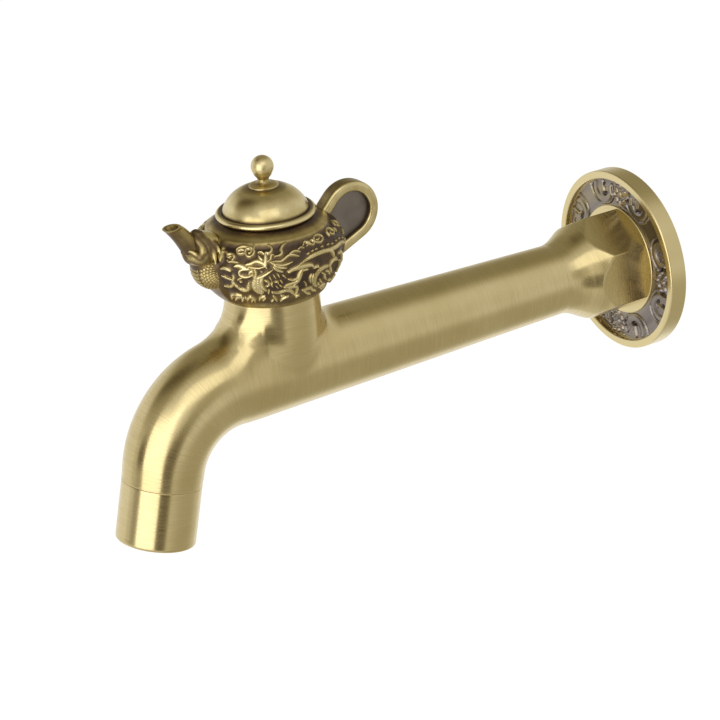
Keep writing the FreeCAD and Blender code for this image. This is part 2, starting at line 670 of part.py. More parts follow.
def holes_round(owner, name, lift, radius, pitch, rings, depth):
    """A middle hole and rings of six, twelve and more round it, cut downwards."""
    for ring in range(rings + 1):
        sketch = sketch_on(owner, "XY_Plane", "%s_ring_%d" % (name, ring), lift)
        circle(sketch, radius, "%s * %d" % (pitch, ring) if ring else "0")
        hole = padded(owner, "%s_hole_%d" % (name, ring), sketch, depth, cut=True)
        if ring:
            pattern = owner.newObject("PartDesign::PolarPattern", "%s_copies_%d" % (name, ring))
            pattern.Originals = [hole]
            pattern.Axis = (sketch, ["N_Axis"])
            pattern.Angle = 360
            pattern.Occurrences = 6 * ring
            owner.Tip = pattern


HOLE_RINGS = 2
holes_round(insert, "jets", "-(%s - insert_plate)" % INSERT_END, "jet_radius", "jet_pitch", HOLE_RINGS,
            "insert_plate + cut_spare")
at_seam(insert)
screen = turned_piece("aerator_screen", [
    ("0", "-" + GASKET_END),
    ("screen_radius", "-" + GASKET_END),
    ("screen_radius", "-" + SCREEN_END),
    ("0", "-" + SCREEN_END),
])
holes_round(screen, "mesh", "-" + GASKET_END, "mesh_radius", "mesh_pitch", HOLE_RINGS,
            "screen_height + cut_spare")
at_seam(screen)

# Headwork: cage with windows, thread, hexagon and collar
GLAND_TOP = "(neck_top + gland_height)"
headwork = body("headwork_body")
turned(headwork, "headwork_turned", [
    ("0", "cage_bottom"),
    ("cage_radius", "cage_bottom"),
    ("cage_radius", "chamber_top"),
    ("thread_radius", "chamber_top + cage_bevel"),
    ("thread_radius", "neck_top - ring_seat_depth"),
    ("ring_seat_root", "neck_top - ring_seat_depth"),
    ("ring_seat_root", GLAND_TOP),
    ("gland_neck_radius", GLAND_TOP),
    ("gland_neck_radius", "gland_top"),
    ("0", "gland_top"),
])
gland_sketch = sketch_on(headwork, "XY_Plane", "gland_outline", "neck_top")
hexagon(gland_sketch, "gland_flats")
padded(headwork, "gland_hexagon", gland_sketch, "gland_height")
turned(headwork, "headwork_bore", [
    ("0", "cage_bottom - cut_spare"),
    ("cage_bore", "cage_bottom - cut_spare"),
    ("cage_bore", "cage_ceiling"),
    ("stem_radius + fit_gap", "cage_ceiling"),
    ("stem_radius + fit_gap", "gland_top + cut_spare"),
    ("0", "gland_top + cut_spare"),
], cut=True)


def slot_through(owner, role, name, width, bottom, top):
    """A rectangular opening right through the body, square to the plane."""
    sketch = sketch_on(owner, role, name + "_outline")
    outline(sketch, [("-%s / 2" % width, bottom), ("%s / 2" % width, bottom), ("%s / 2" % width, top),
                     ("-%s / 2" % width, top)])
    return padded(owner, name, sketch, "cross_cut", cut=True, both=True)


slot_through(headwork, "YZ_Plane", "windows", "window_width", "window_bottom", "window_top")
DISC_BOTTOM = "(seat_height + seal_height)"
DISC_MIDDLE = "(%s + disc_height)" % DISC_BOTTOM
slot_through(headwork, "XZ_Plane", "key_slots", "(key_width + 2 * fit_gap)", "(cage_bottom - cut_spare)",
             DISC_MIDDLE)
at_handle(headwork)

flange_ring = doc.addObject("Part::Torus", "headwork_o_ring")
flange_ring.Label = "headwork_o_ring"
bind(flange_ring, "Radius1", "ring_seat_radius - flange_ring_wire - fit_gap")
bind(flange_ring, "Radius2", "flange_ring_wire")
place(flange_ring, ("0", "-handle_reach", "neck_top - ring_seat_depth / 2"))

seat_seal = turned_piece("seat_seal", [
    ("seal_inner", "seat_height"),
    ("seal_outer", "seat_height"),
    ("seal_outer", DISC_BOTTOM),
    ("seal_inner", DISC_BOTTOM),
])
at_handle(seat_seal)


def ports(owner, name, lift, depth, outer, first, back=False):
    """Two opposite sector openings, cut downwards from a height."""
    for side in range(2):
        sketch = sketch_on(owner, "XY_Plane", "%s_sketch_%d" % (name, side), lift)
        low = "(%s + %d - port_angle / 2)" % (first, 180 * side)
        high = "(%s + %d + port_angle / 2)" % (first, 180 * side)
        outline(sketch, [
            ("port_inner * cos(%s)" % low, "port_inner * sin(%s)" % low, "port_inner", -1),
            ("%s * cos(%s)" % (outer, low), "%s * sin(%s)" % (outer, low)),
            ("%s * cos(%s)" % (outer, high), "%s * sin(%s)" % (outer, high), outer, 1),
            ("port_inner * cos(%s)" % high, "port_inner * sin(%s)" % high),
        ])
        padded(owner, "%s_port_%d" % (name, side), sketch, depth, cut=True, back=back)


fixed_disc = body("fixed_ceramic_disc")
disc_outline = sketch_on(fixed_disc, "XY_Plane", "fixed_disc_outline", DISC_BOTTOM)
circle(disc_outline, "disc_radius")
padded(fixed_disc, "fixed_disc_plate", disc_outline, "disc_height")
ears = sketch_on(fixed_disc, "XY_Plane", "fixed_disc_ears", DISC_BOTTOM)
outline(ears, [("-key_width / 2", "-key_reach"), ("key_width / 2", "-key_reach"),
               ("key_width / 2", "key_reach"),
               ("-key_width / 2", "key_reach")])
padded(fixed_disc, "fixed_disc_keys", ears, "disc_height")
ports(fixed_disc, "fixed_disc", DISC_MIDDLE, "disc_height + cut_spare", "port_outer", "0")
at_handle(fixed_disc)

MOVING_BOTTOM = "(%s + fit_gap)" % DISC_MIDDLE
MOVING_TOP = "(%s + disc_height)" % MOVING_BOTTOM
moving_disc = body("moving_ceramic_disc")
moving_outline = sketch_on(moving_disc, "XY_Plane", "moving_disc_outline", MOVING_BOTTOM)
circle(moving_outline, "disc_radius")
padded(moving_disc, "moving_disc_plate", moving_outline, "disc_height")
ports(moving_disc, "moving_disc", MOVING_TOP, "disc_height + cut_spare", "port_outer", "90")
disc_slot = sketch_on(moving_disc, "XY_Plane", "disc_slot_outline", MOVING_TOP)
outline(disc_slot, [
    ("-disc_radius - cut_spare", "-slot_width / 2"),
    ("disc_radius + cut_spare", "-slot_width / 2"),
    ("disc_radius + cut_spare", "slot_width / 2"),
    ("-disc_radius - cut_spare", "slot_width / 2"),
])
padded(moving_disc, "disc_slot", disc_slot, "slot_depth", cut=True)
at_handle(moving_disc)

# Spindle: tongue and fork over the moving disc, shoulder, stem with grooves, splined top
FORK_TOP = "(%s + foot_height)" % MOVING_TOP
CLIP_BOTTOM = "(gland_top + clip_play)"
CLIP_TOP = "(%s + clip_height)" % CLIP_BOTTOM
spindle = body("spindle")
RING_COUNT = 2
groove_steps = []
for ring in range(RING_COUNT):
    middle = "(stem_ring_first + stem_ring_pitch * %d)" % ring
    groove_steps += [
        ("stem_radius", "%s - stem_ring_width / 2" % middle),
        ("stem_ring_root", "%s - stem_ring_width / 2" % middle),
        ("stem_ring_root", "%s + stem_ring_width / 2" % middle),
        ("stem_radius", "%s + stem_ring_width / 2" % middle),
    ]
turned(spindle, "spindle_turned", [
    ("0", MOVING_TOP),
    ("disc_radius", MOVING_TOP),
    ("disc_radius", "shoulder_top"),
    ("stem_radius", "shoulder_top"),
] + groove_steps + [
    ("stem_radius", CLIP_BOTTOM),
    ("clip_root", CLIP_BOTTOM),
    ("clip_root", CLIP_TOP),
    ("spline_root", CLIP_TOP),
    ("spline_root", "spline_bottom"),
    ("spline_radius", "spline_bottom"),
    ("spline_radius", "spline_top"),
    ("0", "spline_top"),
])
ports(spindle, "fork", FORK_TOP, "foot_height + cut_spare", "disc_radius + cut_spare", "90")
tongue = sketch_on(spindle, "XY_Plane", "tongue_outline", MOVING_TOP)
outline(tongue, [("-port_outer", "-slot_width / 2 + fit_gap"), ("port_outer", "-slot_width / 2 + fit_gap"),
                 ("port_outer", "slot_width / 2 - fit_gap"), ("-port_outer", "slot_width / 2 - fit_gap")])
padded(spindle, "tongue", tongue, "slot_depth - fit_gap", back=True)


def tooth_gap(owner, name, bottom, height, tip, root):
    """One V gap between two spline teeth, then its copies round the axis."""
    sketch = sketch_on(owner, "XY_Plane", name + "_outline", bottom)
    half = "(180 / spline_teeth)"
    outline(sketch, [(root, "0"),
                     ("(%s + fit_gap) * cos(%s)" % (tip, half), "-(%s + fit_gap) * sin(%s)" % (tip, half)),
                     ("(%s + fit_gap) * cos(%s)" % (tip, half), "(%s + fit_gap) * sin(%s)" % (tip, half))])
    gap = padded(owner, name, sketch, height, cut=True, back=True)
    return spun_copies(owner, name + "_copies", gap, "spline_teeth", sketch)


tooth_gap(spindle, "spline", "spline_bottom", "spline_top - spline_bottom + cut_spare", "spline_radius",
          "spline_root")
tapped = sketch_on(spindle, "XY_Plane", "tapped_hole_outline", "spline_top")
circle(tapped, "screw_radius + fit_gap")
padded(spindle, "tapped_hole", tapped, "screw_length", cut=True)
at_handle(spindle)

RING_WIRE = "((stem_radius - stem_ring_root) / 2)"
stem_rings = []
for ring in range(RING_COUNT):
    torus = doc.addObject("Part::Torus", "stem_ring_%d" % ring)
    bind(torus, "Radius1", "stem_ring_root + " + RING_WIRE)
    bind(torus, "Radius2", RING_WIRE)
    place(torus, ("0", "-handle_reach", "stem_ring_first + stem_ring_pitch * %d" % ring))
    stem_rings.append(torus)
spindle_rings = doc.addObject("Part::Compound", "spindle_o_rings")
spindle_rings.Label = "spindle_o_rings"
spindle_rings.Links = stem_rings

thrust_washer = turned_piece("thrust_washer", [
    ("stem_radius + fit_gap", "shoulder_top"),
    ("disc_radius - fit_gap", "shoulder_top"),
    ("disc_radius - fit_gap", "shoulder_top + washer_height"),
    ("stem_radius + fit_gap", "shoulder_top + washer_height"),
])
at_handle(thrust_washer)

clip = turned_piece("retaining_clip", [
    ("clip_root + fit_gap", CLIP_BOTTOM),
    ("clip_radius", CLIP_BOTTOM),
    ("clip_radius", CLIP_TOP),
    ("clip_root + fit_gap", CLIP_TOP),
])
mouth = sketch_on(clip, "XY_Plane", "clip_mouth_outline", CLIP_TOP + " + cut_spare")
outline(mouth, [("-clip_mouth / 2", "0"), ("clip_mouth / 2", "0"),
                ("clip_mouth / 2", "clip_radius + cut_spare"),
                ("-clip_mouth / 2", "clip_radius + cut_spare")])
padded(clip, "clip_mouth_cut", mouth, "clip_height + 2 * cut_spare", cut=True)
at_handle(clip)

# Teapot: foot, belly and shoulder, hollow below, with a boss for the spline bush
POT_FOOT = "(neck_top + handle_lift)"
BOWL_INNER = "(pot_belly_radius - pot_wall)"
HOLLOW_TOP = "(well_floor - well_floor_wall)"
# The tight curve's centre, the point where the flatter curve takes over, and that curve's centre
TURN_OUT = "(pot_belly_radius - pot_turn_curve)"
TURN_END = "(%s + pot_turn_curve * cos(pot_turn))" % TURN_OUT
TURN_UP = "(pot_belly_height + pot_turn_curve * sin(pot_turn))"
CROWN_OUT = "(%s - pot_crown_curve * cos(pot_turn))" % TURN_END
CROWN_UP = "(%s - pot_crown_curve * sin(pot_turn))" % TURN_UP


def crown_radius(height, inset="0"):
    """How far the flatter curve, or a wall's inner side, is from the axis at a height."""
    return "(%s + sqrt((pot_crown_curve - %s) ^ 2 - (%s - %s) ^ 2))" % (CROWN_OUT, inset, height, CROWN_UP)


pot = body("pot_form")
turned(pot, "pot_turned", [
    ("0", POT_FOOT),
    ("pot_foot_radius", POT_FOOT),
    ("pot_belly_radius", "pot_belly_height", "pot_lower_curve", 1),
    (TURN_END, TURN_UP, "pot_turn_curve", 1),
    (crown_radius("pot_top"), "pot_top", "pot_crown_curve", 1),
    ("0", "pot_top"),
])
# Relief on both sides: a dragon with arched back, coiled tail, mane, head, limb and claws, between clouds
# and waves
LOWER_WIDE = "(pot_belly_radius - pot_foot_radius)"
LOWER_TALL = "(pot_belly_height - %s)" % POT_FOOT
LOWER_CHORD = "sqrt(%s ^ 2 + %s ^ 2)" % (LOWER_WIDE, LOWER_TALL)
LOWER_RISE = "sqrt(pot_lower_curve ^ 2 - %s ^ 2 / 4)" % LOWER_CHORD
LOWER_SLOPE = "(%s / %s)" % (LOWER_RISE, LOWER_CHORD)
LOWER_OUT = "((pot_foot_radius + pot_belly_radius) / 2 - %s * %s)" % (LOWER_TALL, LOWER_SLOPE)
LOWER_UP = "((%s + pot_belly_height) / 2 + %s * %s)" % (POT_FOOT, LOWER_WIDE, LOWER_SLOPE)
GROUND_RISE = "sqrt((pot_lower_curve - relief_depth) ^ 2 - (relief_bottom - %s) ^ 2)" % LOWER_UP
GROUND_FOOT = "(%s + %s)" % (LOWER_OUT, GROUND_RISE)
CLOUDS = 5
WAVES = 6

relief_ring = turned_piece("relief_ring", [
    (GROUND_FOOT, "relief_bottom", "pot_lower_curve - relief_depth", -1),
    ("pot_belly_radius + cut_spare", "relief_bottom"),
    ("pot_belly_radius + cut_spare", "relief_top"),
    (crown_radius("relief_top", "relief_depth"), "relief_top"),
    ("%s - relief_depth * cos(pot_turn)" % TURN_END, "%s - relief_depth * sin(pot_turn)" % TURN_UP,
     "pot_crown_curve - relief_depth", -1),
    ("pot_belly_radius - relief_depth", "pot_belly_height", "pot_turn_curve - relief_depth", -1),
])
relief_forms = body("relief_forms")
relief_lines = sketch_on(relief_forms, "YZ_Plane", "relief_outlines")


def raised_band(along, up, radius, start, end):
    """A band along an arc round a centre, between two angles."""
    def spot(size, angle):
        return "%s + (%s) * cos(%d)" % (along, size, angle), "%s + (%s) * sin(%d)" % (up, size, angle)
    inner, outer = radius + " - relief_ridge", radius + " + relief_ridge"
    outline(relief_lines, [
        spot(outer, start),
        spot(outer, end) + (outer, 1),
        spot(inner, end),
        spot(inner, start) + (inner, -1),
    ])


raised_band("arch_behind", "arch_up", "arch_radius", 18, 152)
raised_band("-mane_ahead", "mane_up", "mane_radius", 62, 118)
raised_band("-limb_ahead", "limb_up", "limb_radius", 235, 325)
circle(relief_lines, "tail_radius + relief_ridge", "arch_behind", "tail_up")
circle(relief_lines, "tail_radius - relief_ridge", "arch_behind", "tail_up")
circle(relief_lines, "head_radius", "-head_ahead", "head_up")
circle(relief_lines, "chest_radius", "-chest_ahead", "chest_up")
circle(relief_lines, "knee_radius", "-limb_ahead", "limb_up")
circle(relief_lines, "claw_radius", "-claw_ahead", "claw_up")
circle(relief_lines, "claw_radius", "claw_behind", "claw_low")
for number in range(CLOUDS):
    circle(relief_lines, "cloud_radius", "cloud_pitch * %r" % (number - (CLOUDS - 1) / 2), "cloud_up")
for number in range(WAVES):
    circle(relief_lines, "wave_radius", "wave_pitch * %r" % (number - (WAVES - 1) / 2), "wave_up")
padded(relief_forms, "relief_forms_pad", relief_lines, "2 * (pot_belly_radius + cut_spare)", both=True)
relief_ground = less("relief_ground", relief_ring, [relief_forms])
pot_relief = less("pot_relief", pot, [relief_ground])

# Teapot spout: a tapering curved snout with a small hollow mouth
SNOUT = ("root", "breast", "collar", "throat", "mouth")
snout_sections = []
for part in SNOUT:
    at = ("0", "-snout_%s_out" % part, "snout_%s_up" % part)
    radius, lean = "snout_%s_radius" % part, "snout_%s_lean" % part
    snout_sections.append(circle_at("snout_" + part, radius, at, (1, 0, 0), lean))
snout = loft("snout_form", snout_sections)
breast = doc.addObject("Part::Sphere", "breast_form")
bind(breast, "Radius", "breast_ball_radius")
place(breast, ("0", "-breast_ball_out", "breast_ball_up"))
snout_hollow = doc.addObject("Part::Cone", "snout_hollow_form")
bind(snout_hollow, "Radius1", "(snout_throat_radius - snout_lip) / 2")
bind(snout_hollow, "Radius2", "snout_mouth_radius - snout_lip")
bind(snout_hollow, "Height", "snout_hollow + cut_spare")
place(snout_hollow, ("0", "-snout_mouth_out + snout_hollow * sin(snout_throat_lean)",
                     "snout_mouth_up - snout_hollow * cos(snout_throat_lean)"),
      (1, 0, 0), "snout_throat_lean")

# Teapot loop: a rounded band on the wall side with a thin filled middle
LOOP_ROOT = "(loop_out - loop_radius - loop_root_reach)"
loop = body("loop_form")


def tangent_point(out, up, radius, side):
    """Where a line from the loop's root touches its circle, above (1) or below (-1) the centre line."""
    span = "sqrt((loop_out - %s) * (loop_out - %s) + (loop_up - %s) * (loop_up - %s))" % (out, out, up, up)
    heading = "atan2(%s - loop_up; %s - loop_out)" % (up, out)
    angle = "(%s - %d * acos(%s / %s))" % (heading, side, radius, span)
    return "loop_out + %s * cos(%s)" % (radius, angle), "loop_up + %s * sin(%s)" % (radius, angle)


def loop_outline(name, radius, top, bottom, lift):
    """Two straight runs from the belly, joined by the loop's round end."""
    sketch = sketch_on(loop, "YZ_Plane", name, lift)
    high = tangent_point(LOOP_ROOT, top, radius, 1)
    low = tangent_point(LOOP_ROOT, bottom, radius, -1)
    far = "loop_out + %s" % radius
    outline(sketch, [
        (LOOP_ROOT, top),
        (LOOP_ROOT, bottom),
        low,
        (far, "loop_up", radius, 1),
        high + (radius, 1),
    ])
    return sketch


band = loop_outline("band_outline", "loop_radius", "(loop_root_top + loop_band)",
                    "(loop_root_bottom - loop_band)", "0")
padded(loop, "band", band, "loop_width", both=True)
round_edges(loop, "band_edges", "loop_rounding", lambda edge: edge.BoundBox.XLength < SAME_PLACE)
pane = loop_outline("pane_outline", "(loop_radius - loop_band)", "loop_root_top", "loop_root_bottom",
                    "loop_width / 2")
pane_cut = padded(loop, "pane_near", pane, "(loop_width - loop_web) / 2", cut=True)
pane_far = loop.newObject("PartDesign::Mirrored", "pane_far")
pane_far.Originals = [pane_cut]
pane_far.MirrorPlane = ([plane for plane in loop.Origin.OriginFeatures if plane.Role == "YZ_Plane"][0], [""])
loop.Tip = pane_far

handle_form = joined("teapot_form", [pot_relief, loop, snout, breast])
inside = turned_piece("pot_hollow", [
    ("0", POT_FOOT + " - cut_spare"),
    ("pot_mouth_radius", POT_FOOT + " - cut_spare"),
    ("pot_mouth_radius", POT_FOOT + " + pot_mouth_land"),
    (BOWL_INNER, "pot_belly_height", "pot_lower_curve - pot_wall", 1),
    ("%s - pot_wall * cos(pot_turn)" % TURN_END, "%s - pot_wall * sin(pot_turn)" % TURN_UP,
     "pot_turn_curve - pot_wall", 1),
    (crown_radius(HOLLOW_TOP, "pot_wall"), HOLLOW_TOP, "pot_crown_curve - pot_wall", 1),
    ("boss_radius", HOLLOW_TOP),
    ("boss_radius", "boss_bottom"),
    ("0", "boss_bottom"),
])
bores = turned_piece("pot_bores", [
    ("0", "boss_bottom - cut_spare"),
    ("bush_radius + fit_gap", "boss_bottom - cut_spare"),
    ("bush_radius + fit_gap", "bush_top"),
    ("screw_radius + screw_hole_play", "bush_top"),
    ("screw_radius + screw_hole_play", "well_floor"),
    ("well_radius", "well_floor"),
    ("well_radius", "pot_top + cut_spare"),
    ("0", "pot_top + cut_spare"),
])
teapot = less("teapot_casting", handle_form, [inside, bores, snout_hollow])
at_handle(teapot)

bush = turned_piece("spline_bush", [
    ("0", "boss_bottom"),
    ("bush_radius", "boss_bottom"),
    ("bush_radius", "bush_top"),
    ("0", "bush_top"),
])
BUSH_BORE = "(spline_root + 2 * fit_gap)"
BUSH_RUN = "bush_top - boss_bottom + 2 * cut_spare"
bush_bore = sketch_on(bush, "XY_Plane", "bush_bore_outline", "boss_bottom - cut_spare")
circle(bush_bore, BUSH_BORE)
padded(bush, "bush_bore", bush_bore, BUSH_RUN, cut=True, back=True)
bush_gap = sketch_on(bush, "XY_Plane", "bush_gap_outline", "boss_bottom - cut_spare")
HALF_TOOTH = "(180 / spline_teeth)"
outline(bush_gap, [
    (BUSH_BORE, "0"),
    ("(spline_radius + 3 * fit_gap) * cos(%s)" % HALF_TOOTH,
     "(spline_radius + 3 * fit_gap) * sin(%s)" % HALF_TOOTH),
    ("%s * cos(2 * %s)" % (BUSH_BORE, HALF_TOOTH), "%s * sin(2 * %s)" % (BUSH_BORE, HALF_TOOTH)),
])
tooth_room = padded(bush, "bush_gap", bush_gap, BUSH_RUN, cut=True, back=True)
spun_copies(bush, "bush_gaps", tooth_room, "spline_teeth", bush_gap)
at_handle(bush)

# Screw and spring washer that hold the pot on the spindle
HEAD_SEAT = "(well_floor + spring_washer_height)"
screw = turned_piece("handle_screw", [
    ("0", HEAD_SEAT + " - screw_length"),
    ("screw_radius", HEAD_SEAT + " - screw_length"),
    ("screw_radius", HEAD_SEAT),
    ("screw_head_radius", HEAD_SEAT),
    ("screw_head_radius", HEAD_SEAT + " + screw_head_height"),
    ("0", HEAD_SEAT + " + screw_head_height"),
])
socket = sketch_on(screw, "XY_Plane", "socket_outline", HEAD_SEAT + " + screw_head_height")
hexagon(socket, "screw_socket_flats")
padded(screw, "socket", socket, "screw_socket_depth", cut=True)
at_handle(screw)
screw_washer = turned_piece("screw_washer", [
    ("screw_radius + fit_gap", "well_floor"),
    ("spring_washer_radius", "well_floor"),
    ("spring_washer_radius", HEAD_SEAT),
    ("screw_radius + fit_gap", HEAD_SEAT),
])
at_handle(screw_washer)

# Lid: spigot in the well, rounded rim, dome with a hole for the finial's stud
RIM_TOP = "(pot_top + lid_rim_height)"
RIM_BULGE = "(lid_rim_radius - lid_rim_seat)"
RIM_CURVE = "(%s / 2 + lid_rim_height ^ 2 / 8 / %s)" % (RIM_BULGE, RIM_BULGE)
SPIGOT_BORE = "(lid_spigot_radius - lid_spigot_wall)"
DOME_TOP = "(pot_top + dome_height)"
STUD_END = "(%s - stud_length)" % DOME_TOP
lid = turned_piece("teapot_lid", [
    (SPIGOT_BORE, "pot_top - lid_spigot_depth"),
    ("lid_spigot_radius", "pot_top - lid_spigot_depth"),
    ("lid_spigot_radius", "pot_top"),
    ("lid_rim_seat", "pot_top"),
    ("lid_rim_seat", RIM_TOP, RIM_CURVE, 1),
    ("dome_radius", RIM_TOP),
    ("finial_disc_radius", DOME_TOP, "dome_curve", 1),
    ("stud_radius + fit_gap", DOME_TOP),
    ("stud_radius + fit_gap", STUD_END),
    (SPIGOT_BORE, "pot_top + lid_hollow_wall"),
])
at_handle(lid)

BALL_UP = "(%s + ball_lift)" % DOME_TOP
STEM_MEETS_BALL = "(%s - sqrt(ball_radius ^ 2 - finial_stem_radius ^ 2))" % BALL_UP
DISC_TOP = "(%s + finial_disc_height)" % DOME_TOP
finial = turned_piece("lid_finial", [
    ("0", STUD_END),
    ("stud_radius", STUD_END),
    ("stud_radius", DOME_TOP),
    ("finial_disc_radius", DOME_TOP),
    ("finial_stem_radius", DISC_TOP, "finial_disc_radius", 1),
    ("finial_stem_radius", STEM_MEETS_BALL),
    ("ball_radius", BALL_UP, "ball_radius", 1),
    ("0", "%s + ball_radius" % BALL_UP, "ball_radius", 1),
])
at_handle(finial)

PIECES = [tap_body, rosette, sleeve, gasket, insert, screen, headwork, flange_ring, seat_seal, fixed_disc,
          moving_disc, spindle, spindle_rings, thrust_washer, clip, teapot, bush, screw, screw_washer, lid,
          finial]

doc.recompute()
for thing in doc.Objects:
    if "Invalid" in thing.State or "Error" in thing.State:
        raise RuntimeError("%s failed: %s" % (thing.Name, thing.State))
for piece in PIECES:
    if piece.Shape.isNull() or not piece.Shape.isValid() or not piece.Shape.Solids:
        raise RuntimeError("%s has no valid solid" % piece.Label)

os.makedirs("parts", exist_ok=True)
for piece in PIECES:
    piece.Shape.exportStep("parts/%s.step" % piece.Label)
    print("%-22s %10.1f mm3 %d solid(s) %d faces" % (piece.Label, piece.Shape.Volume, len(piece.Shape.Solids),
                                                     len(piece.Shape.Faces)))
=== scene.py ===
import json
import math

import bmesh
import bpy
import numpy as np
from mathutils import Matrix


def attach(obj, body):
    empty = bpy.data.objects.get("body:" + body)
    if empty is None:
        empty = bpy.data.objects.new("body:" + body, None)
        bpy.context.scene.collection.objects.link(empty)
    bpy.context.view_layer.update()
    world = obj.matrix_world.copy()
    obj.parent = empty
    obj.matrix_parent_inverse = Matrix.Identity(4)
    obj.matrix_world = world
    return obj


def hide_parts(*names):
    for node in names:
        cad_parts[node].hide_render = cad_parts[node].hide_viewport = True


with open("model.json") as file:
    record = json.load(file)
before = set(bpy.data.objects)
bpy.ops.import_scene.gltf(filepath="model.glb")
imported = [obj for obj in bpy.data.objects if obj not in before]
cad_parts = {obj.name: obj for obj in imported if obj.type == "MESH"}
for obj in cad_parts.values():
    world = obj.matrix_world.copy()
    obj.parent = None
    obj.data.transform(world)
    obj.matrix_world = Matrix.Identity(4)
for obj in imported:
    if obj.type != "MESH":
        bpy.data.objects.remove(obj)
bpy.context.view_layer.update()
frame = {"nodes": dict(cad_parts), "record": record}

# Lengths are millimetres, angles degrees, in the frame of the CAD; meshes are made in metres
MM = 0.001

# Camera
CAMERA_AZIMUTH = 58.307
CAMERA_ELEVATION = 23.0
CAMERA_ROLL = -3.922
CAMERA_DISTANCE = 1049.6
CAMERA_TARGET = (-9.39, -101.0, -11.59)
CAMERA_LENS = 165.0

# The handle turns about this line
HANDLE_Y = -136.7


# Radians from point to point on a rounded corner
CORNER_STEP = 0.2


# Small tools

def smooth_step(low, high, value):
    share = np.clip((value - low) / (high - low), 0.0, 1.0)
    return share * share * (3.0 - 2.0 * share)


def rise_and_fall(value, start, full, wane, end):
    """From nothing at the start to one, and back to nothing at the end."""
    return smooth_step(start, full, value) * (1.0 - smooth_step(wane, end, value))


def soft_least(a, b, width):
    """The lesser of two values, with a rounded change from one to the other."""
    near = np.maximum(width - np.abs(a - b), 0.0) / width
    return np.minimum(a, b) - near * near * width / 4


def unit(vector):
    return vector / np.linalg.norm(vector)


def travelled(line):
    """Distance along a line, at each of its points."""
    return np.concatenate([[0], np.cumsum(np.linalg.norm(np.diff(line, axis=0), axis=1))])


def arc_points(centre, radius, start, end, count):
    """Points on an arc, angles in degrees from the first axis."""
    angle = np.radians(np.linspace(start, end, count))
    return np.stack([centre[0] + radius * np.cos(angle), centre[1] + radius * np.sin(angle)], 1)


def rounded_corner(before, corner, after, rounding):
    to_before, to_after = unit(before - corner), unit(after - corner)
    half = math.acos(float(np.clip(to_before @ to_after, -1, 1))) / 2
    centre = corner + unit(to_before + to_after) * rounding / math.sin(half)
    start = corner + to_before * rounding / math.tan(half) - centre
    end = corner + to_after * rounding / math.tan(half) - centre
    first = math.atan2(start[1], start[0])
    sweep = (math.atan2(end[1], end[0]) - first + math.pi) % (2 * math.pi) - math.pi
    angle = first + sweep * np.linspace(0, 1, max(3, math.ceil(abs(sweep) / CORNER_STEP)))
    return centre + rounding * np.stack([np.cos(angle), np.sin(angle)], 1)


def soft_line(corners, closed=False, step=0.4):
    """Straight runs with rounded corners, as closely spaced points; a corner is (across, along, rounding)."""
    spots = [np.array(corner[:2], float) for corner in corners]
    line = []
    for number, corner in enumerate(corners):
        inner = closed or 0 < number < len(corners) - 1
        if inner and len(corner) > 2:
            after = spots[(number + 1) % len(spots)]
            line.extend(rounded_corner(spots[number - 1], spots[number], after, corner[2]))
        else:
            line.append(spots[number])
    if closed:
        line.append(line[0])
    fine = [line[0]]
    for start, end in zip(line[:-1], line[1:]):
        pieces = max(1, math.ceil(np.linalg.norm(end - start) / step))
        fine.extend(start + (end - start) * share / pieces for share in range(1, pieces + 1))
    return np.array(fine[:-1] if closed else fine)


def smooth_curve(points, spacing):
    """A Catmull-Rom curve through the points, evenly spaced."""
    points = np.array(points, float)
    if len(points) == 2:
        dense = np.linspace(points[0], points[1], 40)
    else:
        padded = np.vstack([2 * points[0] - points[1], points, 2 * points[-1] - points[-2]])
        share = np.linspace(0, 1, 16, endpoint=False)[:, None]
        runs = []
        for a, b, c, d in zip(padded[:-3], padded[1:-2], padded[2:-1], padded[3:]):
            cubic = 2 * a - 5 * b + 4 * c - d + share * (3 * (b - c) + d - a)
            runs.append(b + 0.5 * share * (c - a + share * cubic))
        dense = np.vstack(runs + [points[-1:]])
    length = travelled(dense)
    wanted = np.linspace(0, length[-1], max(3, int(length[-1] / spacing)))
    return np.stack([np.interp(wanted, length, dense[:, axis]) for axis in range(dense.shape[1])], 1)


# Meshes

def grid_faces(points, rows_close=False):
    """Quads of a grid of points whose columns close on themselves."""
    rows, columns = points.shape[:2]
    row = np.arange(rows if rows_close else rows - 1)[:, None]
    column = np.arange(columns)[None, :]
    below, right = (row + 1) % rows, (column + 1) % columns
    quads = [row * columns + column, row * columns + right, below * columns + right, below * columns + column]
    return np.stack(quads, -1).reshape(-1, 4)


def signed_volume(points, faces):
    a, b, c, d = (points[faces[:, corner]] for corner in range(4))
    return float((np.cross(a, b) * c).sum() + (np.cross(a, c) * d).sum())


def weld(work):
    """Joins the points that lie on each other."""
    bmesh.ops.remove_doubles(work, verts=work.verts, dist=1e-7)


def add_piece(name, points, faces, fields, look, body, node, mend=None, sharp=50):
    """A closed mesh piece that rides on a body and stands for a CAD node.

    The fields are the numbers or vectors at its points that its material reads; mend works on the new mesh.
    """
    points = np.reshape(points, (-1, 3))
    if signed_volume(points, faces) < 0:
        faces = faces[:, ::-1]
    mesh = bpy.data.meshes.new(name)
    mesh.from_pydata((points * MM).tolist(), [], faces.tolist())
    for label, numbers in fields.items():
        numbers = np.asarray(numbers, np.float32).ravel()
        kind, entry = ("FLOAT", "value") if len(numbers) == len(points) else ("FLOAT_VECTOR", "vector")
        mesh.attributes.new(label, kind, "POINT").data.foreach_set(entry, numbers)
    if mend:
        work = bmesh.new()
        work.from_mesh(mesh)
        mend(work)
        work.to_mesh(mesh)
        work.free()
    mesh.validate()
    mesh.shade_smooth()
    mesh.set_sharp_from_angle(angle=math.radians(sharp))
    mesh.materials.append(look)
    thing = bpy.data.objects.new(name, mesh)
    bpy.context.scene.collection.objects.link(thing)
    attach(thing, body)
    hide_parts(node)


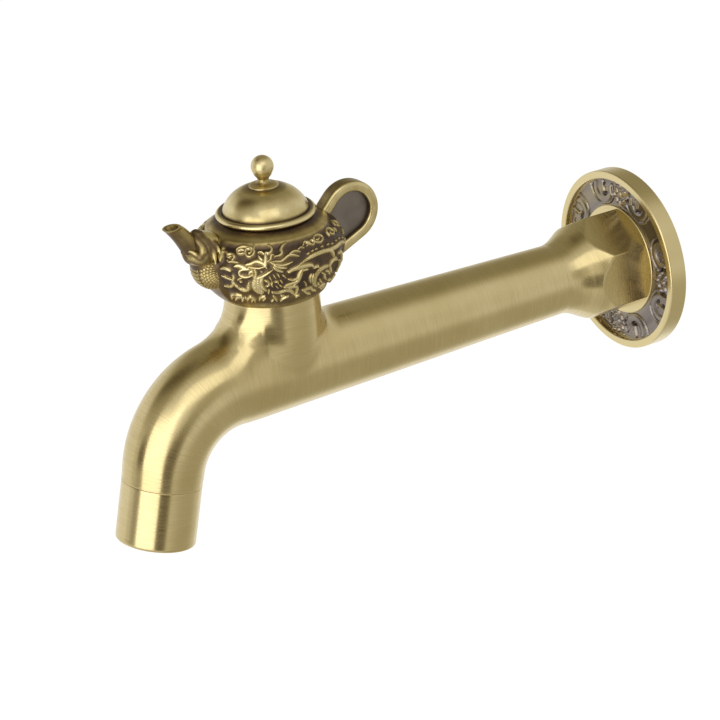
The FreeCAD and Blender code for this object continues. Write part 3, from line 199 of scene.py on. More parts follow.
def pot_piece(name, points, faces, raised, look, grain=None, mend=weld, sharp=50):
    """A piece of the teapot's casting; raised says how far each place stands out, and on the snout's tube and
    the pot's shoulder it also carries painted sheen and painted shade.
    """
    fields = {"raised": raised, "grain": points - (0.0, HANDLE_Y, 0.0) if grain is None else grain}
    add_piece(name, points, faces, fields, look, "handle", "teapot_casting", mend, sharp)


def at_handle(across, along, around):
    """Points about the handle's axis."""
    return np.stack([across * np.sin(around), HANDLE_Y - across * np.cos(around), along], -1)


def at_wall(across, along, around):
    """Points about the barrel's axis, along is the reach from the wall."""
    return np.stack([across * np.sin(around), -along, across * np.cos(around)], -1)


def at_pot_side(out, up, across):
    """Points of the handle given by reach towards the snout, height and side."""
    return np.stack(np.broadcast_arrays(across, HANDLE_Y - out, up), -1)


def ringed(column, columns):
    """A column of values, repeated round a form."""
    return np.repeat(np.asarray(column, float)[:, None], columns, 1)


def capped(points):
    """A grid of points whose two ends are drawn together in their middles."""
    ends = [np.repeat(points[end].mean(0)[None, None], points.shape[1], 1) for end in (0, -1)]
    return np.concatenate([ends[0], points, ends[1]])


def turned_grain(across, along, around):
    """Coordinates that follow a turned form, for the lines of its finish."""
    return np.stack(np.broadcast_arrays(along, across * np.cos(around), across * np.sin(around)), -1)


def turned(name, profile, place, look, body, node, columns=128, closed=False, worn=None):
    """A turned piece: the profile's points are (from the axis, along the axis)."""
    around = np.linspace(0, 2 * math.pi, columns, endpoint=False)
    across, along = ringed(profile[:, 0], columns), ringed(profile[:, 1], columns)
    points = place(across, along, around)
    origin, end = place(np.zeros(2), np.array([0.0, 1.0]), np.zeros(2))
    fields = {
        "grain": turned_grain(across, travelled(profile)[:, None], around),
        "axis": np.broadcast_to(end - origin, points.shape),
    }
    if worn is not None:
        fields["raised"] = ringed(worn, columns)
    mend = None if closed else weld
    add_piece(name, points, grid_faces(points, closed), fields, look, body, node, mend)


# Materials: an input is joined when its value is an output, and set when it is a number or a colour

WHITE = (1.0, 1.0, 1.0)
BRASS_LIGHT = (0.68, 0.57, 0.31)
BRASS_DEEP = (0.60, 0.485, 0.24)
BRASS_LINE = (0.46, 0.365, 0.18)
BRASS_AGED = (0.44, 0.345, 0.14)
BRASS_OLD = (0.17, 0.118, 0.058)
GROUND = (0.088, 0.062, 0.048)
PLATE_HOLLOW = (0.085, 0.066, 0.052)
PLATE_GREY = (0.235, 0.205, 0.182)
WEAR_SCALE = 900.0


def feed(look, node, inputs):
    for key, value in inputs.items():
        socket = node.inputs[key]
        if isinstance(value, bpy.types.NodeSocket):
            look.node_tree.links.new(value, socket)
        else:
            socket.default_value = (*value, 1.0) if socket.type == "RGBA" else value


def add_node(look, kind, inputs=None, **settings):
    """A node of a material or of the world, with its settings and inputs."""
    node = look.node_tree.nodes.new(kind)
    for key, value in settings.items():
        setattr(node, key, value)
    feed(look, node, inputs or {})
    return node


def new_material(name):
    look = bpy.data.materials.new(name)
    look.use_nodes = True
    return look, look.node_tree.nodes["Principled BSDF"]


def noise(look, where, scale, detail=3.0, roughness=0.55):
    inputs = {"Vector": where, "Scale": scale, "Detail": detail, "Roughness": roughness}
    return add_node(look, "ShaderNodeTexNoise", inputs).outputs["Fac"]


def ramp(look, value, stops):
    """A colour ramp; stops are (position, colour)."""
    node = add_node(look, "ShaderNodeValToRGB", {"Fac": value})
    points = node.color_ramp.elements
    while len(points) < len(stops):
        points.new(0.5)
    for point, (position, colour) in zip(points, stops):
        point.position = position
        point.color = (*colour, 1.0)
    return node.outputs["Color"]


def spread(look, value, low, high, to_low, to_high, kind="LINEAR"):
    inputs = {"Value": value, "From Min": low, "From Max": high, "To Min": to_low, "To Max": to_high}
    return add_node(look, "ShaderNodeMapRange", inputs, interpolation_type=kind).outputs["Result"]


def maths(look, operation, first, second):
    return add_node(look, "ShaderNodeMath", {0: first, 1: second}, operation=operation).outputs[0]


def mixed(look, share, first, second):
    """Mixes two colours."""
    inputs = {"Factor": share, 6: first, 7: second}
    return add_node(look, "ShaderNodeMix", inputs, data_type="RGBA").outputs[2]


def mixed_shader(look, share, first, second):
    return add_node(look, "ShaderNodeMixShader", {0: share, 1: first.outputs[0], 2: second.outputs[0]})


def bumped(look, shader, height, strength, distance):
    inputs = {"Strength": strength, "Distance": distance * MM, "Height": height}
    feed(look, shader, {"Normal": add_node(look, "ShaderNodeBump", inputs).outputs["Normal"]})


def attribute(look, name):
    return add_node(look, "ShaderNodeAttribute", attribute_name=name).outputs


def brushed_brass():
    """Satin brass with fine lines round each turned form."""
    look, shader = new_material("brushed_antique_brass")
    lines = attribute(look, "grain")["Vector"]
    drawn = add_node(look, "ShaderNodeVectorMath", {0: lines, 1: (2.6, 0.10, 0.10)}, operation="MULTIPLY")
    fine = noise(look, drawn.outputs[0], 1.0, 5.0, 0.75)
    cloud = noise(look, lines, 0.05, 2.0)
    tint = mixed(look, spread(look, cloud, 0.3, 0.7, 0.0, 1.0), BRASS_DEEP, BRASS_LIGHT)
    axis = add_node(look, "ShaderNodeVectorTransform", {0: attribute(look, "axis")["Vector"]},
                    vector_type="VECTOR", convert_from="OBJECT", convert_to="WORLD")
    feed(look, shader, {
        "Base Color": mixed(look, spread(look, fine, 0.35, 0.7, 0.0, 0.5), tint, BRASS_LINE),
        "Roughness": spread(look, fine, 0.25, 0.75, 0.17, 0.31),
        "Metallic": 1.0,
        "Anisotropic": 0.8,
        "Tangent": axis.outputs[0],
    })
    bumped(look, shader, fine, 0.10, 0.03)
    return look


def relief_brass(name, ground, middle, dull=0.44, polish=0.26, grain=0.15, patches=0.14):
    """Bright raised brass over a dark oxidised ground, by how far each place stands out; where the raised
    field holds painted sheen and painted shade, the colour follows that too.
    """
    look, shader = new_material(name)
    lines = attribute(look, "grain")["Vector"]
    patchy = spread(look, noise(look, lines, 0.22, 4.0, 0.6), 0.3, 0.7, -patches, patches)
    worn = maths(look, "ADD", attribute(look, "raised")["Fac"], patchy)
    tones = ((0.0, ground), (0.32, middle), (0.72, BRASS_AGED), (1.0, BRASS_LIGHT))
    feed(look, shader, {
        "Base Color": ramp(look, worn, tones),
        "Roughness": spread(look, worn, 0.0, 1.0, dull, polish),
        "Metallic": 1.0,
    })
    bumped(look, shader, noise(look, lines, 2.5), grain, 0.05)
    return look


def plain_part(name, colour, metallic, roughness):
    """A small inner part: one colour with slight wear."""
    look, shader = new_material(name)
    wear = noise(look, add_node(look, "ShaderNodeTexCoord").outputs["Object"], WEAR_SCALE)
    darker = tuple(channel * 0.75 for channel in colour)
    feed(look, shader, {
        "Base Color": mixed(look, wear, darker, colour),
        "Roughness": spread(look, wear, 0.3, 0.7, roughness * 0.85, roughness * 1.15),
        "Metallic": metallic,
    })
    return look


# Relief fields

class Relief:
    """Raised strokes on a grid, in millimetres across (u) and along (v)."""

    def __init__(self, u, v):
        self.u, self.v = u, v
        self.height = np.zeros((len(v), len(u)))

    def stroke(self, points, width, height, ends, flat, pattern=None):
        """A rounded ridge along a curve; width is half the ridge, ends are the shares of it at both ends."""
        line = smooth_curve(points, 0.12)
        low, high = line.min(0) - width - 0.3, line.max(0) + width + 0.3
        columns = slice(*np.searchsorted(self.u, (low[0], high[0])))
        rows = slice(*np.searchsorted(self.v, (low[1], high[1])))
        if columns.stop <= columns.start or rows.stop <= rows.start:
            return
        u, v = np.meshgrid(self.u[columns], self.v[rows])
        gap = (u[..., None] - line[:, 0]) ** 2 + (v[..., None] - line[:, 1]) ** 2
        nearest = gap.argmin(-1)
        distance = np.sqrt(gap.min(-1))
        share = nearest / (len(line) - 1)
        half = width * np.interp(share, (0.0, 0.25, 0.75, 1.0), (ends[0], 1.0, 1.0, ends[1]))
        ridge = 1.0 - smooth_step(flat, 1.1, distance / half)
        ridge *= 1.0 - 0.18 * np.minimum(1.0, (distance / half) ** 2)
        if pattern:
            course = np.gradient(line, axis=0)[nearest]
            side = (u - line[nearest, 0]) * course[..., 1] - (v - line[nearest, 1]) * course[..., 0]
            run = nearest * np.linalg.norm(line[1] - line[0])
            ridge *= pattern(run, np.sign(side) * distance)
        self.height[rows, columns] = np.maximum(self.height[rows, columns], height * ridge)


# A row of scales lowers a ridge to this share of its height between two scales
SCALE_FLOOR = 0.72


def scales(pitch, row):
    """Overlapping scales, as a share of a ridge's height."""
    def pattern(run, side):
        lane = np.round(side / row)
        phase = (run / pitch + 0.5 * (lane % 2)) % 1.0
        across = (side / row - lane) * 2
        edge = phase - 0.35 * across ** 2
        return SCALE_FLOOR + (1.0 - SCALE_FLOOR) * smooth_step(-0.2, 0.55, edge)
    return pattern


# Pot: foot, belly, tight turn and crown, as arcs of (centre, radius, first and last angle)
POT_ARCS = (
    ((3.74, 41.39), 20.0, -53.3, -4.0),
    ((16.70, 40.00), 7.0, 0.0, 45.0),
    ((6.80, 30.10), 21.0, 45.0, 68.96),
)
# Profiles inside the foot and over the crown, as (from the axis, height)
POT_INSIDE = np.array([(0.0, 27.6), (6.0, 27.6), (12.8, 27.6), (13.4, 27.0), (13.4, 25.7), (13.7, 25.35),
                       (14.6, 25.35), (15.5, 25.35)])
POT_CROWN = np.array([(12.0, 49.7), (6.0, 49.7), (0.0, 49.7)])
# Millimetres of the pot's side to one degree round it
DEGREE = 0.393
RELIEF_DEPTH = 0.75
FIGURE_WIDTH = 1.55
# How far the ground rises between close forms
CLOSE_RISE = 0.55
# Where the relief begins, is full, wanes and ends: along the profile, and in degrees from the snout
RELIEF_BAND = (1.4, 3.4, 24.8, 27.0)
RELIEF_SIDES = (12.0, 22.0, 162.0, 170.0)
# Tone of the plain metal by the length along the profile; the bright band on the shoulder is a painted
# highlight, and the dark under the lid's rim is patina with painted shade
PLAIN_PLACES = (0.0, 1.5, 3.5, 25.5, 26.6, 28.0, 29.2, 30.2)
PLAIN_TONES_AND_PAINTED_LIGHT = (0.7, 0.6, 0.35, 0.40, 0.70, 0.78, 0.38, 0.05)


def pot_surface(along):
    """Places and outward directions of the pot's side, by the length along its profile."""
    start = 0.0
    place = out = np.zeros((2, len(along)))
    for centre, bend, first, last in POT_ARCS:
        angle = math.radians(first) + (along - start) / bend
        toward = np.stack([np.cos(angle), np.sin(angle)])
        place = np.where(along >= start, np.array(centre)[:, None] + bend * toward, place)
        out = np.where(along >= start, toward, out)
        start += bend * math.radians(last - first)
    return place, out


def at_pot(points):
    """Points given as (degrees from the snout, length along the profile), in millimetres both ways."""
    return [(angle * DEGREE, along) for angle, along in points]


# Raised strokes of the pot: half width, then the points
CLOUD_STROKES = (
    (0.5, (38.5, 23.5), (36, 23.2), (33, 23.5), (31.6, 24.4), (33.5, 25.3), (37, 25.9), (41, 25.7),
     (45, 25.3), (47.3, 24.4), (46.6, 23), (44, 22.4), (41.4, 22.8), (39.7, 23.8), (40, 24.8), (42.2, 25.1),
     (44.6, 24.6), (44.6, 23.7), (42.8, 23.6)),
    (0.32, (33.4, 24.1), (36, 24.6), (38.4, 24.5)),
    (0.3, (47, 24.6), (47, 26), (46.2, 27)),
    (0.45, (90.8, 24.2), (92.4, 25), (94.8, 24.8), (95.2, 23.9), (93.4, 23.5)),
    (0.45, (96.4, 24.9), (97, 23.8), (99.4, 23.2), (101.4, 23.9), (100.6, 24.9), (98.8, 24.7)),
    (0.45, (102.2, 24.9), (102.8, 23.8), (106, 23.1), (110, 23.2), (113.2, 24.1), (112.8, 25), (109, 25.7),
     (104.6, 25.4), (103.6, 24.6)),
    (0.36, (105.2, 24.3), (107.4, 24.1), (109.6, 24.6)),
    (0.48, (121.6, 23.2), (123, 24.8), (127, 25.4), (131, 24.8), (131.4, 23.5), (128, 22.8), (125.4, 23.6),
     (127.6, 24.3)),
    (0.4, (132.6, 23), (135.4, 23.9), (137, 23.2), (135.4, 22.5)),
    (0.48, (144, 23.6), (147, 24.8), (151.5, 24.4), (152.8, 23), (150, 22.1), (147.4, 22.8), (149.4, 23.4)),
    (0.4, (154, 22.2), (157, 23), (159, 22.2)),
)
LEAF_STROKES = (
    (1.2, (17.4, 24), (17.6, 22.2), (19.6, 20.2)),
    (0.55, (19, 23.2), (22, 23.2), (25, 22.7), (28.2, 22.9), (30.6, 22.4), (31.3, 21.6), (30.2, 20.9)),
    (0.42, (24.2, 22.1), (26.4, 21.6), (28.6, 22)),
    (0.45, (25.6, 20.7), (27.6, 20.2), (30, 20.4), (35, 20.4)),
    (0.82, (21, 17.6), (24, 18), (27, 17.7), (29.2, 17.3)),
)
HEAD_STROKES = (
    (0.85, (32.8, 19), (35.4, 19.4), (38.4, 19.1), (41, 18.8)),
    (0.5, (39, 18.5), (42, 18.5), (44.4, 18.3)),
    (0.8, (42, 19.8), (45.5, 20.2), (49.6, 20.9), (53, 20.5), (56.4, 19.6)),
    (0.5, (43.6, 19), (48, 18.8), (52, 18.7), (56, 19.1), (57.6, 18.4)),
    (0.58, (43, 18.2), (39, 18.1), (36.8, 17.6), (36.3, 16.6), (38, 15.8), (41, 15.6), (44.6, 16),
     (46.6, 16.6)),
    (0.62, (43.8, 16.8), (45.6, 17.7), (47.2, 17.2)),
    (0.42, (46.9, 16.4), (47.4, 15.6), (48.2, 15)),
    (0.5, (48.4, 18.2), (49.2, 17.2), (48.8, 16), (48.4, 15.2)),
    (0.35, (52.6, 17.6), (54.2, 17.4)),
    (0.58, (50, 15.3), (54, 15.9), (58, 16.9), (61.4, 17.9)),
    (0.7, (56.8, 19.4), (56.6, 21.2), (57, 22.8)),
    (0.55, (56.2, 22), (57, 23.5), (60, 23.5), (62, 24.2), (62.2, 25.2), (60, 26.2)),
    (0.42, (55.4, 23.3), (53.4, 24), (50.8, 23.8)),
    (0.45, (54.2, 21.3), (52.4, 22), (51, 22.8)),
    (0.55, (58.8, 20.8), (60.6, 21.4), (61.4, 22.6), (63.4, 22.7)),
    (0.62, (64.5, 22.1), (68, 22.3), (70.2, 23.1), (70.2, 24.4), (72.2, 25.4), (75.8, 26.1)),
    (0.58, (60.4, 20.3), (64, 20.5), (68, 20.3), (71, 20.9), (75, 21.8), (79, 21.7), (83, 20.9)),
    (0.52, (61.4, 19.9), (66, 19.2), (71, 19), (77, 19.6)),
    (0.5, (62.2, 18.9), (65, 17.6), (69, 16.8)),
    (0.4, (63.4, 19.2), (67, 18.3), (72, 17.9)),
    (0.44, (76, 22.3), (80, 22.9), (83, 22.7), (85.4, 22.1)),
    (0.4, (84.6, 23.2), (87.4, 23.6), (90, 23)),
)
CHEST_STROKES = (
    (1.0, (48.4, 15.2), (46.8, 13.6), (46.6, 11.8), (48.4, 10.2), (51.6, 9.2)),
    (0.8, (50.8, 15.4), (49.6, 13.4), (50.2, 11.4), (52.6, 9.8)),
    (0.72, (53.6, 15.6), (52.2, 13.6), (53, 11.6), (55.4, 10.3)),
    (0.42, (55.4, 14.3), (57.8, 13.6), (57.8, 12.5), (55.6, 12)),
    (0.42, (57.8, 10.5), (56.8, 9)),
    (0.38, (60.6, 13.4), (60, 12.6), (60.8, 11.8)),
    (0.32, (62.4, 13.5), (64.6, 13.6), (65.2, 12.6)),
    (0.3, (59, 15.4), (60.2, 14.2)),
    (0.3, (62, 16), (63.6, 14.8)),
    (0.3, (65, 16.2), (66.4, 15)),
    (0.3, (63.4, 11.8), (65.2, 11)),
    (0.3, (67, 13.8), (68.6, 12.8)),
    (0.3, (66.2, 12), (68.2, 11.4)),
    (0.3, (69, 15.6), (71, 14.6)),
    (0.58, (30.4, 15.8), (31.4, 15.2), (30, 14.2), (29.6, 13)),
    (0.52, (29.2, 14.2), (25, 14.6), (20.5, 15.2)),
    (0.62, (30, 13), (28, 11.9), (25, 11.3), (20.5, 11.3)),
    (0.74, (30, 13.3), (32, 12), (34.5, 10.8), (38, 10.3), (41, 10.9), (41.9, 12.2), (42.9, 13.6)),
    (0.42, (33.5, 14.2), (36, 15), (38, 15.2)),
    (0.36, (35.2, 13.9), (37.6, 13.6)),
    (0.85, (29.4, 13.2), (30, 13)),
)
BODY_STROKES = (
    (0.85, (73.8, 16.4), (77, 17), (82, 17.2), (87, 17.3), (91.6, 17), (93.8, 16.3)),
    (0.4, (83.6, 16), (89, 16)),
    (0.85, (84, 16.4), (82.4, 14.6), (80.8, 12.8), (78, 11.6)),
    (0.45, (80, 13.6), (77, 13.3), (73, 13.9)),
    (0.45, (79, 12.4), (75.4, 12), (71, 11.7)),
    (0.42, (78.6, 11.4), (76.6, 10.6), (74, 10.4)),
    (0.55, (94.6, 15.7), (97.4, 15.9), (98.8, 15.4)),
    (0.35, (92.2, 13.8), (91, 12.4), (92.6, 10.4)),
    (0.35, (94.2, 13.6), (93.4, 11.8), (94.2, 10.4)),
    (0.35, (86.4, 11.6), (88, 10.8), (88.4, 9.6)),
    (0.6, (60, 9.4), (65, 9), (70, 9.4), (75, 10)),
    (0.62, (70, 11), (75, 10.8), (80, 10.2), (81.8, 9)),
    (0.7, (70.6, 9.6), (75.4, 8.8), (78, 7.2)),
    (0.5, (80.6, 9.6), (80.8, 7.8), (79.6, 6.4)),
    (0.72, (112, 19.3), (115.2, 18.2), (116, 16.6)),
    (0.75, (111, 14.2), (114, 15.2), (118, 15.4), (122.4, 14.5)),
    (0.5, (112, 13.9), (113.6, 12.6), (116.2, 11)),
    (0.48, (103.4, 12.7), (106.4, 11.8), (108.4, 10.2), (112, 8.8)),
    (0.48, (107.4, 12.8), (111, 12.2), (114, 10.6)),
    (0.48, (102, 10.6), (104, 9.4), (107, 8.2)),
    (0.4, (100.8, 9.4), (103, 8.2), (105.4, 7.2)),
    (0.7, (124, 16.4), (129, 16), (133.5, 13.6), (132.6, 11), (128, 9.8)),
    (0.45, (126, 13.6), (129, 13), (128.6, 11.6)),
    (0.6, (137, 12.6), (141, 11), (146, 10.6), (151, 11.6)),
    (0.5, (147, 15), (152, 16.6), (157, 16.4), (158, 14.6), (154, 13.8)),
    (0.5, (146, 19.6), (151, 20.4), (157, 19.6), (161, 18.4)),
)
FOOT_STROKES = (
    (0.58, (20.5, 5.2), (23, 6.9), (27, 7.8), (33.2, 7.8)),
    (0.52, (24, 4.7), (28, 6.2), (32.8, 7)),
    (0.5, (30.6, 4.4), (32.4, 5.4), (33.8, 6.4)),
    (0.42, (36, 6.9), (37.4, 5.8), (36.4, 4.8)),
    (0.52, (38.4, 6.2), (41, 7.4), (43.6, 6.2), (43.8, 4.6)),
    (0.42, (40.4, 4.6), (42, 5.8)),
    (0.52, (47.8, 5.6), (50, 7), (53.6, 7.9)),
    (0.46, (51.4, 5.5), (53.8, 6.8)),
    (0.5, (60.8, 7.6), (62, 6.2), (63.8, 4.6)),
    (0.36, (58.6, 4.6), (60.4, 5.4)),
    (0.5, (67, 4.6), (70, 5.8), (74, 6.6)),
    (0.42, (67.4, 7.4), (70, 7)),
    (0.45, (81.4, 5.2), (82.6, 6), (84.4, 5.4)),
    (0.78, (86.8, 8), (92, 8.1), (96.4, 7.4)),
    (0.5, (89, 7), (92.4, 5.6), (97, 4.8)),
    (0.45, (97.4, 6.4), (101.6, 5.6), (104, 4.6)),
    (0.55, (106, 6.4), (110, 7), (114, 5.8), (112, 4.6)),
    (0.5, (117, 7.6), (121, 7.2), (124, 5.6)),
    (0.55, (127, 5.2), (131, 6.8), (136, 6.6), (137, 5)),
    (0.5, (140, 7.2), (145, 7.6), (149, 6)),
    (0.5, (152, 5.4), (156, 6.8), (161, 6.2)),
)
# Arched back, the row of beads over it, and the tail's ring
BACK = ((80, 17.6), (84, 18.5), (88, 19.2), (94, 19.8), (100, 20), (106, 19.9), (113, 19.4), (121, 19.1),
        (129, 19), (136, 18.2), (141, 16.6), (143, 14.4))
BEADS = ((91.5, 21), (96, 21.4), (100, 21.5), (106.5, 21.5), (113.5, 21.2), (118.5, 20.7), (125, 20.7),
         (131.5, 20.4), (138, 19.5))
TAIL_RING = ((109, 14.4), (104, 14.5), (100, 14), (97, 12.6), (96.4, 10.8), (97.4, 9.2), (100.4, 8))


def pot_relief(u, v):
    """Raised figures of the pot's side on a grid, from nothing to one."""
    field = Relief(u, v)
    for width, *points in CLOUD_STROKES + LEAF_STROKES + HEAD_STROKES + BODY_STROKES + FOOT_STROKES:
        field.stroke(at_pot(points), FIGURE_WIDTH * width, 1.0, (0.65, 0.5), 0.1)
    for width, *points in CHEST_STROKES:
        field.stroke(at_pot(points), FIGURE_WIDTH * width, 1.0, (0.7, 0.6), 0.15, scales(0.8, 0.5))
    field.stroke(at_pot(BACK), 0.95, 0.95, (0.5, 0.8), 0.5, scales(0.9, 0.6))
    field.stroke(at_pot(TAIL_RING), 1.05, 0.95, (0.7, 0.7), 0.45, scales(0.95, 0.65))
    for across, along in at_pot(BEADS):
        field.stroke([(across - 0.02, along), (across + 0.02, along)], 0.68, 0.95, (1.0, 1.0), 0.2)
    return field.height


def softened(field, reach):
    """The field averaged over a number of cells to each side, twice."""
    for _ in range(2):
        for axis in (0, 1):
            total = sum(np.roll(field, shift, axis) for shift in range(-reach, reach + 1))
            field = total / (2 * reach + 1)
    return field


def make_pot(look):
    """The teapot's shell with its relief, the same on both sides."""
    half = np.arange(0.0, 180.01, 0.4)
    v = np.arange(0.15, 31.51, 0.16)
    raised = pot_relief(half * DEGREE, v)
    raised = np.concatenate([raised, raised[:, -2:0:-1]], 1)
    turn = np.concatenate([half, -half[-2:0:-1]])
    cover = rise_and_fall(v, *RELIEF_BAND)[:, None] * rise_and_fall(np.abs(turn), *RELIEF_SIDES)
    # Close forms run into each other, as in a casting
    near = softened(raised, 4)
    depth = RELIEF_DEPTH * cover * (1.0 - np.maximum(raised, CLOSE_RISE * near))
    foot = 0.30 * (1.0 - smooth_step(6.0, 10.5, v))[:, None]
    tone = np.clip(0.86 * raised + 0.26 * near + foot, 0.0, 1.0)
    # Plain metal outside the relief, with the shoulder's painted highlight and the painted shade under the
    # lid's rim
    tone = tone * cover + np.interp(v, PLAIN_PLACES, PLAIN_TONES_AND_PAINTED_LIGHT)[:, None] * (1 - cover)
    tone = np.pad(tone, ((len(POT_INSIDE), 0), (0, 0)), constant_values=0.5)
    tone = np.pad(tone, ((0, len(POT_CROWN)), (0, 0)), constant_values=0.2)
    place, out = pot_surface(v)
    columns = len(turn)
    across, along = (
        np.vstack([ringed(POT_INSIDE[:, axis], columns), place[axis][:, None] - out[axis][:, None] * depth,
                   ringed(POT_CROWN[:, axis], columns)])
        for axis in (0, 1))
    turn = np.radians(turn)
    points = at_handle(across, along, turn)
    grain = turned_grain(across, along, turn)
    pot_piece("teapot_shell", points, grid_faces(points), tone, look, grain, sharp=180)


# Teapot's snout: stations along its centre line (out, up, radius, lean), and its mouth
SNOUT_STATIONS = (
    (16.6, 37.6, 6.2, 46.0),
    (21.4, 41.0, 5.9, 43.0),
    (25.1, 43.8, 3.7, 40.0),
    (30.0, 50.7, 2.7, 38.0),
    (32.0, 53.1, 2.6, 18.0),
    (32.8, 53.9, 2.9, 6.0),
)
MOUTH_DEPTH = 3.2
MOUTH_LIP = -0.12
# Radii of the mouth's lip and edge, and of its hollow from the top to the floor
MOUTH_RADII = (2.75, 2.45, 2.0, 0.9)


def make_snout(look):
    line = smooth_curve(SNOUT_STATIONS, 0.15)
    around = np.radians(np.arange(0, 360, 2.5))
    mouth_out, mouth_up, _, mouth_lean = SNOUT_STATIONS[-1]
    # The lip turns over into a short hollow that ends in a flat floor
    drop = np.concatenate([[MOUTH_LIP, MOUTH_LIP], np.linspace(0, MOUTH_DEPTH, 10), [MOUTH_DEPTH]])
    radius = np.concatenate([MOUTH_RADII[:2], np.linspace(*MOUTH_RADII[2:], 10), [0.0]])
    lean = np.interp(drop, (0.0, MOUTH_DEPTH), (mouth_lean, 38.0))
    hollow = np.stack([mouth_out - drop * 0.45, mouth_up - drop * 0.85, radius, lean], 1)
    out, up, size, lean = (column[:, None] for column in np.vstack([line, hollow]).T)
    # Forward is square to the lean: 0 degrees is the breast, 180 the back
    forward = size * np.cos(around)
    tilt = np.radians(lean)
    points = at_pot_side(out + forward * np.cos(tilt), up - forward * np.sin(tilt), size * np.sin(around))
    # Painted sheen: the tube is painted lighter towards its back and darker at its breast, as light falls on
    # it
    raised = np.tile(0.18 + 0.30 * (1.0 - np.cos(around)), (len(points), 1))
    raised[len(line) - 8:len(line) + 2] = 0.88
    raised[len(line) + 3:] = 0.55
    pot_piece("teapot_snout", points, grid_faces(points), raised, look)


# Creature's mask round the snout, as chains of (out, up, across, radius) in a box
MASK_CHAINS = (
    ((29.6, 45.4, 0.0, 0.55), (29.1, 45.9, 1.5, 0.5), (28.4, 46.0, 2.7, 0.5), (27.6, 45.3, 3.8, 0.6),
     (26.5, 44.4, 4.6, 0.9)),
    ((27.9, 43.9, 0.0, 1.6), (27.3, 43.9, 2.0, 1.7), (26.2, 43.5, 3.6, 1.85), (25.2, 43.7, 4.4, 1.8)),
    ((26.9, 42.8, 0.0, 1.9), (26.3, 42.7, 2.0, 2.0), (25.2, 42.6, 3.6, 2.0), (24.4, 43.0, 4.4, 1.9)),
    ((26.2, 44.4, 4.6, 1.2), (25.3, 45.9, 4.5, 1.15), (25.3, 47.3, 3.7, 0.95), (25.8, 48.6, 2.7, 0.6),
     (26.0, 49.4, 1.7, 0.4)),
    ((24.2, 46.0, 3.4, 1.9), (24.4, 47.7, 2.2, 1.8), (24.7, 48.7, 0.9, 1.8), (24.9, 48.9, 0.0, 1.8)),
    ((24.9, 50.2, 0.0, 0.8), (24.2, 49.9, 0.8, 0.8)),
    ((22.9, 48.0, 3.4, 0.45), (22.4, 46.4, 4.7, 0.55), (22.3, 44.2, 6.0, 0.58), (22.8, 41.9, 7.1, 0.42)),
    ((20.9, 47.2, 4.4, 0.30), (20.6, 45.6, 5.9, 0.42), (20.9, 43.9, 7.0, 0.30)),
    ((23.6, 46.4, 0.0, 4.1), (21.5, 44.0, 0.0, 5.7)),
)
MASK_LOW, MASK_HIGH = (-8.6, HANDLE_Y - 31.0, 37.0), (8.6, HANDLE_Y - 15.0, 52.4)
MASK_BLEND = 1.0


def mask_chains():
    chains = []
    for chain in MASK_CHAINS:
        line = smooth_curve(chain, 0.35)
        spots = at_pot_side(line[:, 0], line[:, 1], line[:, 2])
        chains.append((spots, line[:, 3]))
        if line[:, 2].max() > 0.01:
            chains.append((spots * (-1, 1, 1), line[:, 3]))
    return chains


def make_mask(look):
    chains = mask_chains()

    def distances(points):
        """Distance to each chain, as rows."""
        return np.stack([(np.linalg.norm(points[..., None, :] - spots, axis=-1) - radii).min(-1)
                         for spots, radii in chains])

    def field(points):
        rows = distances(points)
        total = rows[0]
        for row in rows[1:]:
            total = soft_least(total, row, MASK_BLEND)
        return total

    points, quads = surface_net(field, MASK_LOW, MASK_HIGH, 0.34)
    points = relax(points, quads, field, 2)
    rows = np.sort(distances(points), 0)
    crease = smooth_step(0.05, 0.9, rows[1] - rows[0])
    pot_piece("snout_mask", points, quads, 0.30 + 0.56 * crease, look, mend=None, sharp=180)


# The creature's breast: its middle and radius, depth of its carving, and the plates down its middle
BREAST_OUT, BREAST_UP, BREAST_RADIUS = 19.7, 38.2, 7.15
BREAST_DEPTH = 0.34
PLATES_HALF_WIDTH, PLATES_PITCH = 2.5, 1.35


def make_breast(look):
    """Round breast: scales at the sides, plates down its middle."""
    lean = np.radians(np.arange(-140, 100.1, 1.6))
    side = np.radians(np.arange(-88, 88.1, 1.6))
    turn, over = np.meshgrid(lean, side, indexing="ij")
    run, across = turn * BREAST_RADIUS, over * BREAST_RADIUS
    from_plates = np.abs(across) - PLATES_HALF_WIDTH
    plate = 1.0 - np.abs((run / PLATES_PITCH) % 1.0 - 0.5) * 2
    scale = (scales(1.4, 1.1)(-run, across) - SCALE_FLOOR) / (1.0 - SCALE_FLOOR)
    height = np.where(from_plates < 0.0, smooth_step(0.0, 0.35, plate), scale)
    height *= smooth_step(0.0, 0.35, np.abs(from_plates))
    radius = BREAST_RADIUS - BREAST_DEPTH * (1.0 - height)
    out = BREAST_OUT + radius * np.cos(turn) * np.cos(over)
    up = BREAST_UP + radius * np.sin(turn) * np.cos(over)
    points = capped(at_pot_side(out, up, radius * np.sin(over)))
    # The two sides meet in a disc inside the pot
    hub = at_pot_side(BREAST_OUT - 3.0, BREAST_UP, 0.0)
    points = np.concatenate([points, np.broadcast_to(hub, (len(points), 1, 3))], 1)
    raised = np.pad(0.24 + 0.46 * height, ((1, 1), (0, 1)), constant_values=0.3)
    pot_piece("snout_breast", points, grid_faces(points), raised, look, sharp=180)


# Teapot's loop, in reach from the handle's axis and height
LOOP_CENTRE = (29.15, 43.6)
LOOP_RADIUS = 9.9
LOOP_BAND = 3.3
LOOP_HALF_WIDTH = 2.85
LOOP_INNER_EDGE, LOOP_OUTER_EDGE = 1.0, 1.3
LOOP_WEB = 0.9
LOOP_ROOT = 17.0
LOOP_ROOT_TOP = 41.1
LOOP_ROOT_BOTTOM = 30.6


